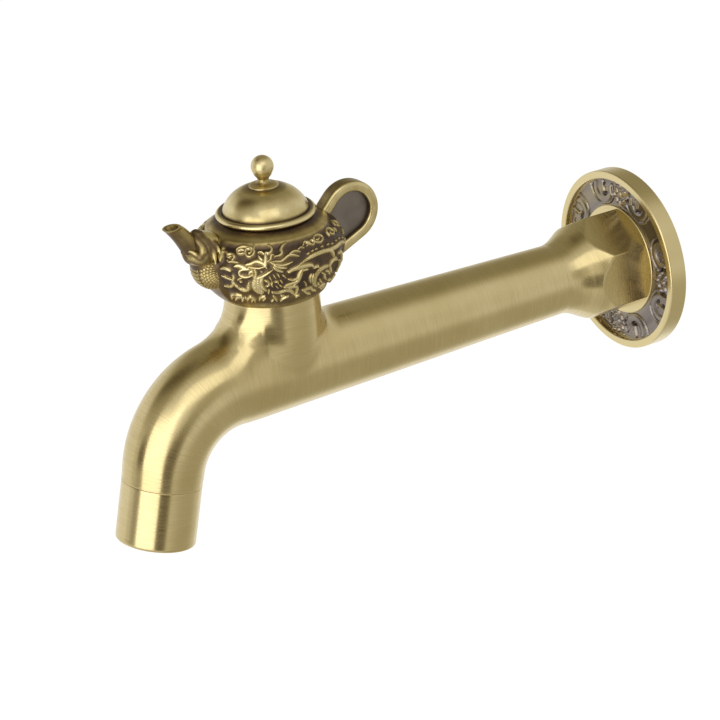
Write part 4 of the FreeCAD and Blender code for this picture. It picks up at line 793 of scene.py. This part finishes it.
def loop_path(inset):
    """The loop's outline moved inward, from its upper root round to its lower root."""
    radius = LOOP_RADIUS - inset
    ends = ((LOOP_ROOT, LOOP_ROOT_TOP + LOOP_BAND - inset), (LOOP_ROOT, LOOP_ROOT_BOTTOM - LOOP_BAND + inset))
    angles = []
    for spot, side in zip(ends, (1, -1)):
        out, up = spot[0] - LOOP_CENTRE[0], spot[1] - LOOP_CENTRE[1]
        tangent = math.acos(min(1.0, radius / math.hypot(out, up)))
        angles.append(math.degrees(math.atan2(up, out) - side * tangent) % 360)
    first, last = angles
    if last > first:
        last -= 360
    return soft_line([ends[0], *arc_points(LOOP_CENTRE, radius, first, last, 64), ends[1]], step=0.7)


def make_loop(band_look, web_look):
    path = loop_path(LOOP_BAND / 2)
    course = np.gradient(path, axis=0)
    course /= np.linalg.norm(course, axis=1)[:, None]
    outward = np.stack([-course[:, 1], course[:, 0]], 1)
    half, width = LOOP_BAND / 2, LOOP_HALF_WIDTH
    section = soft_line([(-half, -width, LOOP_INNER_EDGE), (half, -width, LOOP_OUTER_EDGE),
                         (half, width, LOOP_OUTER_EDGE), (-half, width, LOOP_INNER_EDGE)], True, 0.35)
    spots = path[:, None] + outward[:, None] * section[:, :1]
    points = capped(at_pot_side(-spots[..., 0], spots[..., 1], section[:, 1]))
    face = smooth_step(0.55, 0.95, np.abs(section[:, 1]) / LOOP_HALF_WIDTH)
    outer = smooth_step(-0.6, 0.6, section[:, 0])
    raised = np.tile(0.15 + 0.78 * face + 0.30 * outer * (1.0 - face), (len(points), 1))
    pot_piece("teapot_loop", points, grid_faces(points), raised, band_look)
    rim = loop_path(LOOP_BAND * 0.6)
    hub = rim.mean(0)
    spots = hub + (rim - hub) * np.array([0.0, 0.35, 0.7, 1.0])[:, None, None]
    face = at_pot_side(-spots[..., 0], spots[..., 1], LOOP_WEB)
    points = np.concatenate([face, face[::-1] * (-1, 1, 1)])
    pot_piece("teapot_loop_web", points, grid_faces(points), np.full(points.shape[:2], 0.3), web_look)


# Lid: seat, rounded rim and dome, and the finial over it
LID_SEAT = 49.7
LID_RADIUS = 14.4
RIM_OUT, RIM_HEIGHT = 1.0, 2.15
DOME_FOOT, DOME_TOP_RADIUS, DOME_HEIGHT, DOME_BEND = 13.3, 4.6, 9.35, 10.8
BALL_RADIUS, BALL_HEIGHT = 3.5, 6.2


def make_lid(look):
    base = soft_line([(0.0, 0.0), (LID_RADIUS, 0.0)], step=2.0)
    rim = arc_points((0.0, 0.0), 1.0, -50, 50, 16)
    rim[:, 0] = LID_RADIUS + (rim[:, 0] - rim[0, 0]) * RIM_OUT / (rim[:, 0].max() - rim[0, 0])
    rim[:, 1] = (rim[:, 1] - rim[0, 1]) * RIM_HEIGHT / (rim[-1, 1] - rim[0, 1])
    groove = [(13.9, 2.1), (13.55, 1.95), (13.35, 1.9)]
    foot, top = np.array([DOME_FOOT, RIM_HEIGHT]), np.array([DOME_TOP_RADIUS, DOME_HEIGHT])
    span = np.linalg.norm(top - foot)
    inward = np.array([foot[1] - top[1], top[0] - foot[0]]) / span
    centre = (foot + top) / 2 + inward * math.sqrt(DOME_BEND ** 2 - (span / 2) ** 2)
    first, last = (math.degrees(math.atan2(*(spot - centre)[::-1])) for spot in (foot, top))
    dome = arc_points(centre, DOME_BEND, first, last, 60)
    worn = np.concatenate([
        np.full(len(base), 0.3),
        np.interp(np.linspace(0, 1, len(rim)), (0, 0.3, 0.9, 1), (0.3, 1, 1, 0.5)),
        np.full(len(groove), 0.12),
        np.interp(dome[:, 1], (2.15, 2.8, 4.5, 8.6, 9.35), (0.2, 0.84, 0.96, 0.88, 0.3)),
        [0.3, 0.3],
    ])
    profile = np.vstack([base, rim, groove, dome, [(2.0, DOME_HEIGHT), (0.0, DOME_HEIGHT)]]) + (0.0, LID_SEAT)
    turned("lid_dome", profile, at_handle, look, "handle", "teapot_lid", worn=worn)


def make_finial(look):
    """The finial's heights are over the dome."""
    disc = soft_line([(4.3, -0.3), (4.6, 0.0, 0.1), (4.6, 0.45, 0.2), (3.9, 0.75)], step=0.2)
    stem = smooth_curve([(3.9, 0.75), (2.6, 1.0), (1.95, 1.6), (1.75, 2.3), (2.1, 2.95), (2.75, 3.7)], 0.15)
    ball = arc_points((0.0, BALL_HEIGHT), BALL_RADIUS, -38, 90, 40)
    profile = np.vstack([[(0.0, -1.0), (4.0, -0.4)], disc, stem[1:], ball[1:]])
    profile[-1, 0] = 0.0
    worn = np.interp(profile[:, 1], (-0.2, 0.1, 0.7, 1.2, 2.5, 4.0), (0.3, 0.9, 0.85, 0.45, 0.8, 0.95))
    profile += (0.0, LID_SEAT + DOME_HEIGHT)
    turned("lid_finial_ball", profile, at_handle, look, "handle", "lid_finial", 96, worn=worn)


# Wall rosette, and the millimetres of its ornament's band to one degree round it
PLATE_DEGREE = 0.401
PLATE_INNER, PLATE_OUTER = 18.3, 27.4
PLATE_GROUND = 4.2
PLATE_FACE = 6.0
PLATE_RADIUS = 30.0
# The plate's side and back with the collar inside it, as (radius, height, rounding)
PLATE_LINE = ((PLATE_OUTER, PLATE_GROUND), (PLATE_OUTER, PLATE_FACE, 0.45), (PLATE_RADIUS, PLATE_FACE, 0.55),
              (PLATE_RADIUS, 0.0, 0.2), (27.3, 0.0), (27.3, 2.4), (10.9, 2.4), (10.9, 5.0),
              (PLATE_INNER, 5.0, 0.35), (PLATE_INNER, PLATE_GROUND))
# Ornament by degrees from the middle of a quarter, mirrored there, and radius; strokes are half width,
# height, shares of the width at the ends, flat share, then the points
PLATE_RIDGES = (
    (0.50, 0.70, (0.6, 0.6), 0.3, (8.6, 26.8), (7.6, 24.4), (8.4, 21.8), (12.5, 19.7), (19.0, 19.0),
     (26.0, 18.9), (33.0, 19.9), (37.0, 21.8)),
    (1.50, 0.55, (0.8, 0.5), 0.3, (15.5, 26.6), (12.9, 24.6), (13.6, 22.0), (18.0, 20.4), (24.5, 20.2),
     (30.5, 21.6), (31.8, 24.2)),
    (0.75, 0.90, (0.5, 1.2), 0.3, (23.6, 26.8), (23.2, 25.0), (22.8, 23.2)),
    (1.25, 1.00, (0.9, 0.8), 0.0, (45.0, 19.0), (45.0, 20.4)),
    (1.30, 1.00, (0.9, 0.8), 0.0, (45.0, 22.4), (45.0, 23.4)),
    (1.00, 1.00, (0.9, 0.8), 0.0, (45.0, 25.6), (45.0, 26.2)),
    (1.10, 1.00, (0.9, 0.8), 0.0, (41.4, 20.4), (39.8, 21.4)),
    (1.20, 1.00, (0.9, 0.8), 0.0, (41.2, 23.6), (39.6, 24.6)),
    (0.90, 1.00, (0.9, 0.8), 0.0, (37.4, 22.2), (36.2, 22.8)),
    (0.95, 1.00, (0.9, 0.8), 0.0, (40.4, 26.4), (38.6, 26.9)),
)
PLATE_HOLLOWS = (
    (0.70, 1.00, (0.7, 0.7), 0.2, (26.4, 22.4), (22.6, 21.9), (19.8, 22.6)),
    (0.50, 0.80, (0.8, 0.8), 0.2, (26.0, 25.9), (25.4, 24.4)),
    (1.00, 1.00, (0.7, 0.5), 0.2, (34.6, 25.2), (34.6, 23.0), (35.6, 21.4)),
)


def plate_relief(u, v, strokes):
    field = Relief(u, v)
    for width, height, ends, flat, *points in strokes:
        for side in (PLATE_DEGREE, -PLATE_DEGREE):
            field.stroke([(side * angle, radius) for angle, radius in points], width, height, ends, flat)
    return field.height


def make_rosette(look):
    quarter = np.arange(-45.0, 45.0, 0.5)
    ground = np.arange(PLATE_INNER + 0.1, PLATE_OUTER - 0.05, 0.16)
    ridges, hollows = (plate_relief(quarter * PLATE_DEGREE, ground, strokes)
                       for strokes in (PLATE_RIDGES, PLATE_HOLLOWS))
    raised = np.tile(ridges - 0.9 * hollows, (1, 4))
    around = np.radians(np.concatenate([quarter + 49.0 + 90.0 * number for number in range(4)]))
    rim = soft_line(PLATE_LINE, step=0.25)
    rows, columns = raised.shape
    edge = smooth_step(0.0, 0.5, ground - ground[0]) * smooth_step(0.0, 0.5, ground[-1] - ground)
    across = ringed(np.concatenate([ground, rim[:, 0]]), columns)
    along = ringed(np.concatenate([np.full(rows, PLATE_GROUND), rim[:, 1]]), columns)
    along[:rows] += (0.68 * raised - 0.12) * edge[:, None]
    tone = np.full(across.shape, 1.0)
    tone[:rows] = 0.32 + np.where(raised > 0, 0.10, 0.36) * raised
    points = at_wall(across, along, around)
    fields = {"raised": tone, "grain": turned_grain(across * 0.1, across, around)}
    add_piece("rosette_plate", points, grid_faces(points, True), fields, look, "root",
              "wall_rosette", sharp=40)


# Tap body: thread, step, hexagon and flare on a fine grid, by reach from the wall
PITCH = 1.814
THREAD_START = -9.5
THREAD_RADIUS, THREAD_DEPTH = 10.478, 1.16
STEP_RADIUS = 9.5
HEX_BACK, HEX_FRONT, FLARE_START, FLARE_END = 5.0, 19.4, 21.7, 32.2
ROOT_RADIUS, END_RADIUS = 11.45, 14.25
ROOT_LINE = ((15.0, 18.8), (17.5, 17.6), (19.4, 16.5), (20.7, 15.9), (22.0, 15.35), (24.0, 14.3),
             (26.0, 13.2), (28.5, 12.15), (31.0, 11.55), (32.2, 11.45), (33.4, 11.48))
# Floor and wall of the inlet's bore, and the thread's end, as (from the axis, reach)
INLET_LINE = np.array([(0.0, 60.0), (8.0, 60.0), (8.0, -10.0), (9.0, -10.4)])
TAPER_END = 147.3
BEND_START = 153.3
BEND_RADIUS = 27.0
BEND_ANGLE = math.radians(77.3)
TAIL = 5.1
TIP_RADIUS = 12.5
SPLIT = 100.0
HEX_APOTHEM = 15.3
HEX_EDGE = 0.22


def barrel_radius(reach):
    length = np.minimum(reach, TAPER_END) - FLARE_END
    return ROOT_RADIUS + (END_RADIUS - ROOT_RADIUS) * length / (TAPER_END - FLARE_END)


def root_profile(reach):
    """Radius of the turned form: a chamfer over the hexagon's corners, that runs out in a hollow flare."""
    line = smooth_curve(ROOT_LINE, 0.2)
    return np.where(reach > FLARE_END, barrel_radius(reach), np.interp(reach, line[:, 0], line[:, 1]))


def hexagon_radius(turn):
    """Distance from the axis to the hexagon's sides, with slightly rounded edges."""
    sixth = math.radians(60)
    wedge = turn % sixth - sixth / 2
    return soft_least(HEX_APOTHEM / np.cos(wedge), HEX_APOTHEM / np.cos(sixth - np.abs(wedge)), HEX_EDGE)


def make_root(look):
    corners = (np.arange(0, 360, 60)[:, None] + (-0.75, -0.5, -0.25, 0.0, 0.25, 0.5, 0.75)).ravel() % 360
    around = np.radians(np.unique(np.concatenate([np.arange(0, 360, 1.0), corners])))
    hollow = FLARE_START + 3.0
    reach = np.unique(np.round(np.concatenate([
        np.arange(THREAD_START, 0.01, 0.18), np.arange(0.3, HEX_BACK, 0.5),
        np.arange(HEX_BACK, HEX_FRONT - 1, 0.4), np.arange(HEX_FRONT - 1, hollow, 0.12),
        np.arange(hollow, FLARE_END + 1, 0.3), np.arange(FLARE_END + 1, SPLIT + 0.01, 1.2), [SPLIT]]), 3))
    grid, turn = np.meshgrid(reach, around, indexing="ij")
    radius = root_profile(grid)
    radius = np.where(grid > hollow, radius, soft_least(hexagon_radius(turn), radius, HEX_EDGE))
    ridge = np.abs(((grid / PITCH + turn / (2 * math.pi)) % 1.0) - 0.5) * 2
    lead_in = np.maximum(0, THREAD_START + 1.0 - grid)
    thread = THREAD_RADIUS - THREAD_DEPTH * smooth_step(0.12, 0.88, ridge) - lead_in
    radius = np.where(grid < 0.0, thread, np.where(grid < HEX_BACK, STEP_RADIUS, radius))
    step = np.searchsorted(reach, HEX_BACK)
    radius, grid = np.insert(radius, step, STEP_RADIUS, 0), np.insert(grid, step, HEX_BACK, 0)
    columns = len(around)
    across = np.vstack([ringed(INLET_LINE[:, 0], columns), radius, radius[-1:] * 0.5, np.zeros((1, columns))])
    along = np.vstack([ringed(INLET_LINE[:, 1], columns), grid, np.full((2, columns), SPLIT)])
    points = at_wall(across, along, around)
    axis = np.broadcast_to((0.0, -1.0, 0.0), points.shape)
    fields = {"grain": turned_grain(across, along, around), "axis": axis}
    add_piece("tap_root", points, grid_faces(points), fields, look, "root", "tap_body",
              weld, sharp=60)


# Tap body: barrel's end, neck and spout as one smooth surface
NECK_RADIUS, NECK_WAIST = 14.7, 13.95
NECK_TOP = 25.0
GRAIN_RADIUS = 14.0
TAIL_START = (-(BEND_START + BEND_RADIUS * math.sin(BEND_ANGLE)), -BEND_RADIUS * (1 - math.cos(BEND_ANGLE)))
TAIL_HEADING = (-math.cos(BEND_ANGLE), -math.sin(BEND_ANGLE))
TIP = (TAIL_START[0] + TAIL * TAIL_HEADING[0], TAIL_START[1] + TAIL * TAIL_HEADING[1])


def spout_frame(points):
    """Distance along the spout's centre line, distance from it, and the angle round it."""
    x, y, z = points[..., 0], points[..., 1], points[..., 2]
    angle = np.arctan2(-(y + BEND_START), z + BEND_RADIUS)
    ring = np.hypot(y + BEND_START, z + BEND_RADIUS)
    tail = (y - TAIL_START[0]) * TAIL_HEADING[0] + (z - TAIL_START[1]) * TAIL_HEADING[1]
    up_tail = -(y - TAIL_START[0]) * math.sin(BEND_ANGLE) + (z - TAIL_START[1]) * math.cos(BEND_ANGLE)
    in_lead = y > -BEND_START
    in_tail = (tail > 0) & ~in_lead
    bend = BEND_START + BEND_RADIUS * np.where(in_tail, BEND_ANGLE, angle)
    reach = np.where(in_lead, -y, np.where(in_tail, bend + tail, bend))
    up = np.where(in_lead, z, np.where(in_tail, up_tail, ring - BEND_RADIUS))
    return reach, np.hypot(x, up), np.arctan2(x, up)


def spout_field(points):
    reach, distance, _ = spout_frame(points)
    length = BEND_RADIUS * BEND_ANGLE + TAIL
    radius = barrel_radius(reach) + (TIP_RADIUS - END_RADIUS) * np.maximum(reach - BEND_START, 0) / length
    return distance - radius


def neck_field(points):
    x, y, z = points[..., 0], points[..., 1] - HANDLE_Y, points[..., 2]
    radius = NECK_WAIST + (NECK_RADIUS - NECK_WAIST) * smooth_step(0.0, 13.0, z) - 0.1 * np.minimum(z, 0) ** 2
    return np.hypot(x, y) - radius


# Millimetres to each side of a point where a field's slope is measured
SLOPE_STEP = 0.02


def gradient(field, points):
    slopes = [field(points + shift) - field(points - shift) for shift in np.eye(3) * SLOPE_STEP]
    return np.stack(slopes, -1) / (2 * SLOPE_STEP)


# Width of the hollow between neck and barrel, what the front adds, and what the front's sides add
BLEND, BLEND_FRONT, BLEND_SIDE = 10.0, 3.0, 12.0


def body_field(points):
    """Below zero inside the tap; the neck runs into the barrel in a hollow curve, longer at the front."""
    spout, neck = spout_field(points), neck_field(points)
    slope_spout, slope_neck = gradient(spout_field, points), gradient(neck_field, points)
    alike = (slope_spout * slope_neck).sum(-1)
    alike /= np.linalg.norm(slope_spout, axis=-1) * np.linalg.norm(slope_neck, axis=-1) + 1e-9
    front = (HANDLE_Y - points[..., 1]) / (np.hypot(points[..., 0], points[..., 1] - HANDLE_Y) + 1e-6)
    side = np.minimum(np.abs(points[..., 0]) / NECK_RADIUS, 1.0)
    bend = BLEND + BLEND_FRONT * front + BLEND_SIDE * np.maximum(front, 0.0) * side ** 2
    width = bend * np.clip(1.0 - alike, 0.0, 1.0) + 0.02
    return soft_least(spout, neck, width)


def surface_net(field, low, high, step):
    """Points and quads of the surface where the field is zero."""
    axes = [np.arange(low[axis], high[axis] + step, step) for axis in range(3)]
    grid = np.stack(np.meshgrid(*axes, indexing="ij"), -1)
    value = field(grid)
    inside = value < 0
    cells = tuple(size - 1 for size in inside.shape)
    total, count = np.zeros(cells + (3,)), np.zeros(cells)
    corner = {shift: tuple(slice(d, d + n) for d, n in zip(shift, cells)) for shift in np.ndindex(2, 2, 2)}
    for first in corner:
        for axis in range(3):
            if first[axis]:
                continue
            second = tuple(1 if number == axis else d for number, d in enumerate(first))
            a, b = value[corner[first]], value[corner[second]]
            cross = (a < 0) != (b < 0)
            share = np.where(cross, a / np.where(cross, a - b, 1.0), 0.0)[..., None]
            spot = grid[corner[first]] * (1 - share) + grid[corner[second]] * share
            total += np.where(cross[..., None], spot, 0.0)
            count += cross
    active = count > 0
    number = np.full(cells, -1)
    number[active] = np.arange(active.sum())
    points = total[active] / count[active][:, None]
    quads = []
    for axis in range(3):
        one, two = [other for other in range(3) if other != axis]
        a = inside.take(range(inside.shape[axis] - 1), axis)
        b = inside.take(range(1, inside.shape[axis]), axis)
        spots = np.argwhere(a != b)
        spots = spots[(spots[:, one] > 0) & (spots[:, two] > 0)
                      & (spots[:, one] < cells[one]) & (spots[:, two] < cells[two])]
        around = []
        for back_one, back_two in ((1, 1), (0, 1), (0, 0), (1, 0)):
            cell = spots.copy()
            cell[:, one] -= back_one
            cell[:, two] -= back_two
            around.append(number[tuple(cell.T)])
        quad = np.stack(around, 1)
        flip = a[tuple(spots.T)] == (axis != 1)
        quad[flip] = quad[flip][:, ::-1]
        quads.append(quad)
    return points, np.vstack(quads)


def settle(field, points, rounds):
    """Moves points onto the surface."""
    for _ in range(rounds):
        slope = gradient(field, points)
        points = points - slope * (field(points) / ((slope ** 2).sum(-1) + 1e-9))[:, None]
    return points


def relax(points, quads, field, rounds=4):
    """Evens out the mesh, with its points kept on the surface."""
    for _ in range(rounds):
        total, count = np.zeros_like(points), np.zeros(len(points))
        for side in range(4):
            a, b = quads[:, side], quads[:, (side + 1) % 4]
            for here, there in ((a, b), (b, a)):
                np.add.at(total, here, points[there])
                np.add.at(count, here, 1)
        points = settle(field, points * 0.4 + 0.6 * total / count[:, None], 2)
    return settle(field, points, 3)


# Box of the net, and the flat cuts as (place, direction): at the barrel, the neck's top and the collar
SPOUT_LOW, SPOUT_HIGH = (-17.0, -198.0, -38.0), (17.0, -SPLIT + 3.0, NECK_TOP + 3.0)
COLLAR = 0.6
SPOUT_CUTS = (
    ((0, -SPLIT, 0), (0, 1, 0)),
    ((0, 0, NECK_TOP), (0, 0, 1)),
    ((0, TIP[0] - COLLAR * TAIL_HEADING[0], TIP[1] - COLLAR * TAIL_HEADING[1]), (0,) + TAIL_HEADING),
)


def cut_spout(work):
    """Cuts the surface flat and closes it there."""
    for spot, direction in SPOUT_CUTS:
        everything = work.verts[:] + work.edges[:] + work.faces[:]
        place = [value * MM for value in spot]
        made = bmesh.ops.bisect_plane(work, geom=everything, dist=1e-7, plane_co=place, plane_no=direction,
                                      clear_outer=True)
        rim = [item for item in made["geom_cut"] if isinstance(item, bmesh.types.BMEdge)]
        bmesh.ops.holes_fill(work, edges=rim, sides=0)


def make_spout(look):
    points, quads = surface_net(body_field, SPOUT_LOW, SPOUT_HIGH, 0.8)
    points = relax(points, quads, body_field)
    reach, _, turn = spout_frame(points)
    on_neck = smooth_step(-1.5, 3.0, spout_field(points) - neck_field(points))[:, None]
    around_neck = np.arctan2(points[:, 0], points[:, 1] - HANDLE_Y)
    # The neck's lines are far from the spout's in the noise
    lines = np.where(on_neck > 0.5, turned_grain(GRAIN_RADIUS, points[:, 2] + 300.0, around_neck),
                     turned_grain(GRAIN_RADIUS, reach, turn))
    lean = np.clip((reach - BEND_START) / BEND_RADIUS, 0.0, BEND_ANGLE)
    axis = np.stack([0 * lean, -np.cos(lean), -np.sin(lean)], -1)
    axis += on_neck * (np.array((0.0, 0.0, -1.0)) - axis)
    fields = {"grain": lines, "axis": axis}
    add_piece("tap_spout", points, quads, fields, look, "root", "tap_body", cut_spout)


def at_tip(across, along, around):
    """Points about the spout's tip, along is below the seam."""
    y = TIP[0] + along * TAIL_HEADING[0] + across * np.cos(around) * math.sin(BEND_ANGLE)
    z = TIP[1] + along * TAIL_HEADING[1] - across * np.cos(around) * math.cos(BEND_ANGLE)
    return np.stack([across * np.sin(around), y, z], -1)


# Collar of the tip, and the aerator's sleeve below the seam, as (from the axis, along, rounding)
COLLAR_LINE = ((8.0, -COLLAR), (12.54, -COLLAR), (TIP_RADIUS, 0.0, 0.18), (11.0, 0.0), (11.0, 8.0),
               (8.0, 8.0))
SLEEVE_LINE = ((11.05, 0.0), (TIP_RADIUS, 0.0, 0.22), (12.49, 19.19, 1.12), (9.4, 19.19, 0.3),
               (9.4, 17.8, 0.2), (11.05, 17.8))


def make_tip(look):
    rings = (("tap_tip", COLLAR_LINE, "tap_body"), ("aerator_sleeve", SLEEVE_LINE, "aerator_housing"))
    for name, line, node in rings:
        turned(name, soft_line(line, True), at_tip, look, "root", node, closed=True)


# Stage

def heading(azimuth, elevation):
    """Unit vector, azimuth in degrees from +X towards +Y."""
    azimuth, elevation = math.radians(azimuth), math.radians(elevation)
    level = math.cos(elevation)
    return (math.cos(azimuth) * level, math.sin(azimuth) * level, math.sin(elevation))


def put_in_place(name, data, right, up, back, place):
    """Adds a camera or a lamp that looks away from its back direction; its place is in metres."""
    thing = bpy.data.objects.new(name, data)
    thing.matrix_world = Matrix(np.column_stack([right, up, back, place]).tolist() + [(0, 0, 0, 1)])
    bpy.context.scene.collection.objects.link(thing)
    return thing


def make_camera():
    roll = math.radians(CAMERA_ROLL)
    back = np.array(heading(CAMERA_AZIMUTH - 90.0, CAMERA_ELEVATION))
    right = np.array(heading(CAMERA_AZIMUTH, 0.0))
    up = np.cross(back, right)
    rolled_right = math.cos(roll) * right + math.sin(roll) * up
    rolled_up = math.cos(roll) * up - math.sin(roll) * right
    place = (np.array(CAMERA_TARGET) + back * CAMERA_DISTANCE) * MM
    data = bpy.data.cameras.new("camera")
    data.lens = CAMERA_LENS
    data.sensor_width = 36.0
    data.clip_start = 0.01
    bpy.context.scene.camera = put_in_place("camera", data, rolled_right, rolled_up, back, place)


# Studio surroundings: soft zones as (azimuth, elevation, inner and outer angle, change of level)
SURROUNDINGS_LEVEL = 0.78
SURROUNDINGS_TONES = ((0.05, (0.095, 0.068, 0.032)), (0.42, (0.45, 0.42, 0.31)), (1.0, WHITE))
ZONES = (
    (-22.0, -11.0, 8.0, 21.0, -0.80),
    (-3.0, 18.0, 7.0, 21.0, -0.34),
    (160.0, 54.0, 25.0, 60.0, -0.46),
    (-122.0, 48.0, 10.0, 34.0, -0.34),
    (40.0, -48.0, 20.0, 46.0, -0.28),
    (-101.0, 5.0, 6.0, 15.0, -0.80),
    (-158.0, 2.0, 24.0, 38.0, 0.35),
)


def make_world():
    """Soft studio: the background reads white, and zones round the object are lighter or darker."""
    world = bpy.data.worlds.new("studio")
    bpy.context.scene.world = world
    world.use_nodes = True
    world.node_tree.nodes.clear()
    where = add_node(world, "ShaderNodeTexCoord").outputs["Generated"]
    level = SURROUNDINGS_LEVEL
    for azimuth, elevation, inner, outer, change in ZONES:
        toward = add_node(world, "ShaderNodeVectorMath", {0: where, 1: heading(azimuth, elevation)},
                          operation="DOT_PRODUCT")
        near, far = math.cos(math.radians(inner)), math.cos(math.radians(outer))
        zone = spread(world, toward.outputs["Value"], far, near, 0.0, change, "SMOOTHSTEP")
        level = maths(world, "ADD", zone, level)
    light = add_node(world, "ShaderNodeBackground", {"Color": ramp(world, level, SURROUNDINGS_TONES)})
    white = add_node(world, "ShaderNodeBackground", {"Color": WHITE})
    rays = add_node(world, "ShaderNodeLightPath").outputs
    seen = maths(world, "MAXIMUM", rays["Is Camera Ray"], rays["Is Transmission Ray"])
    add_node(world, "ShaderNodeOutputWorld", {0: mixed_shader(world, seen, light, white).outputs[0]})


# Lamps and floor, in metres
LAMP_TARGET = (0.0, -0.12, 0.0)
FLOOR_RADIUS = 1.1
FLOOR_PLACE = (-1.18, 0.0, -0.35)
FLOOR_TONE = 0.86


def add_lamp(name, azimuth, elevation, distance, size, radiance):
    """A soft box that faces the tap; its power follows from its size and radiance."""
    data = bpy.data.lights.new(name, "AREA")
    data.shape = "RECTANGLE"
    data.size, data.size_y = size
    data.energy = radiance * math.pi * size[0] * size[1]
    back = np.array(heading(azimuth, elevation))
    right = unit(np.cross((0, 0, 1), back))
    put_in_place(name, data, right, np.cross(back, right), back, np.array(LAMP_TARGET) + back * distance)


def make_studio():
    add_lamp("side_box", -64.0, 5.0, 1.15, (1.12, 1.25), 1.5)
    add_lamp("top_box", -20.0, 47.0, 1.2, (1.0, 0.62), 0.85)


def make_floor():
    """A pale round floor behind and below the tap: white where it is seen or mirrored, faintly shadowed."""
    look, shader = new_material("floor")
    feed(look, shader, {"Base Color": (FLOOR_TONE,) * 3, "Roughness": 0.9})
    rays = add_node(look, "ShaderNodeLightPath").outputs
    seen = maths(look, "MAXIMUM", rays["Is Camera Ray"], rays["Is Glossy Ray"])
    seen = maths(look, "MAXIMUM", seen, rays["Is Transmission Ray"])
    white = add_node(look, "ShaderNodeEmission", {"Color": WHITE, "Strength": FLOOR_TONE})
    shadowed = add_node(look, "ShaderNodeBsdfDiffuse", {"Color": (0.3, 0.3, 0.3)})
    both = add_node(look, "ShaderNodeAddShader", {0: white.outputs[0], 1: shadowed.outputs[0]})
    surface = mixed_shader(look, seen, shader, both).outputs[0]
    feed(look, look.node_tree.nodes["Material Output"], {"Surface": surface})
    work = bmesh.new()
    bmesh.ops.create_circle(work, cap_ends=True, segments=96, radius=FLOOR_RADIUS,
                            matrix=Matrix.Translation(FLOOR_PLACE))
    mesh = bpy.data.meshes.new("floor")
    work.to_mesh(mesh)
    work.free()
    mesh.materials.append(look)
    floor = bpy.data.objects.new("floor", mesh)
    bpy.context.scene.collection.objects.link(floor)


def dress_inner_parts():
    """The CAD nodes that stay get materials of their own."""
    looks = {
        "disc_ceramic": plain_part("alumina", (0.85, 0.84, 0.80), 0.0, 0.25),
        "black_rubber": plain_part("nitrile_rubber", (0.03, 0.03, 0.03), 0.0, 0.6),
        "steel": plain_part("stainless_steel", (0.60, 0.60, 0.61), 1.0, 0.28),
        "white_plastic": plain_part("white_acetal", (0.82, 0.82, 0.80), 0.0, 0.4),
        "turned_brass": plain_part("machined_brass", (0.78, 0.60, 0.30), 1.0, 0.25),
        "brushed_brass": plain_part("cast_brass", (0.66, 0.50, 0.24), 1.0, 0.35),
        "antique_brass": plain_part("aged_brass", (0.50, 0.37, 0.16), 1.0, 0.4),
        "rosette_brass": plain_part("plate_brass", (0.66, 0.50, 0.22), 1.0, 0.3),
    }
    slots = {entry["node"]: entry["material_slot"] for entry in frame["record"]["subparts"]}
    for name, node in frame["nodes"].items():
        node.data.materials.clear()
        node.data.materials.append(looks[slots[name]])


def main():
    bpy.context.scene.view_settings.view_transform = "Standard"
    body_look = brushed_brass()
    relief_look = relief_brass("relief_brass", GROUND, BRASS_OLD)
    plate_look = relief_brass("plate_brass", PLATE_HOLLOW, PLATE_GREY, 0.24, 0.24)
    web_look = relief_brass("web_brass", PLATE_HOLLOW, PLATE_GREY, 0.5, 0.4, 0.2, 0.05)
    lid_look = relief_brass("lid_brass", GROUND, BRASS_OLD, 0.36, 0.24, 0.05, 0.08)
    finial_look = relief_brass("finial_brass", GROUND, BRASS_OLD, 0.42, 0.36, 0.04, 0.06)
    dress_inner_parts()
    make_root(body_look)
    make_spout(body_look)
    make_tip(body_look)
    make_rosette(plate_look)
    make_pot(relief_look)
    make_snout(relief_look)
    make_mask(relief_look)
    make_breast(relief_look)
    make_loop(relief_look, web_look)
    make_lid(lid_look)
    make_finial(finial_look)
    make_camera()
    make_world()
    make_studio()
    make_floor()


main()
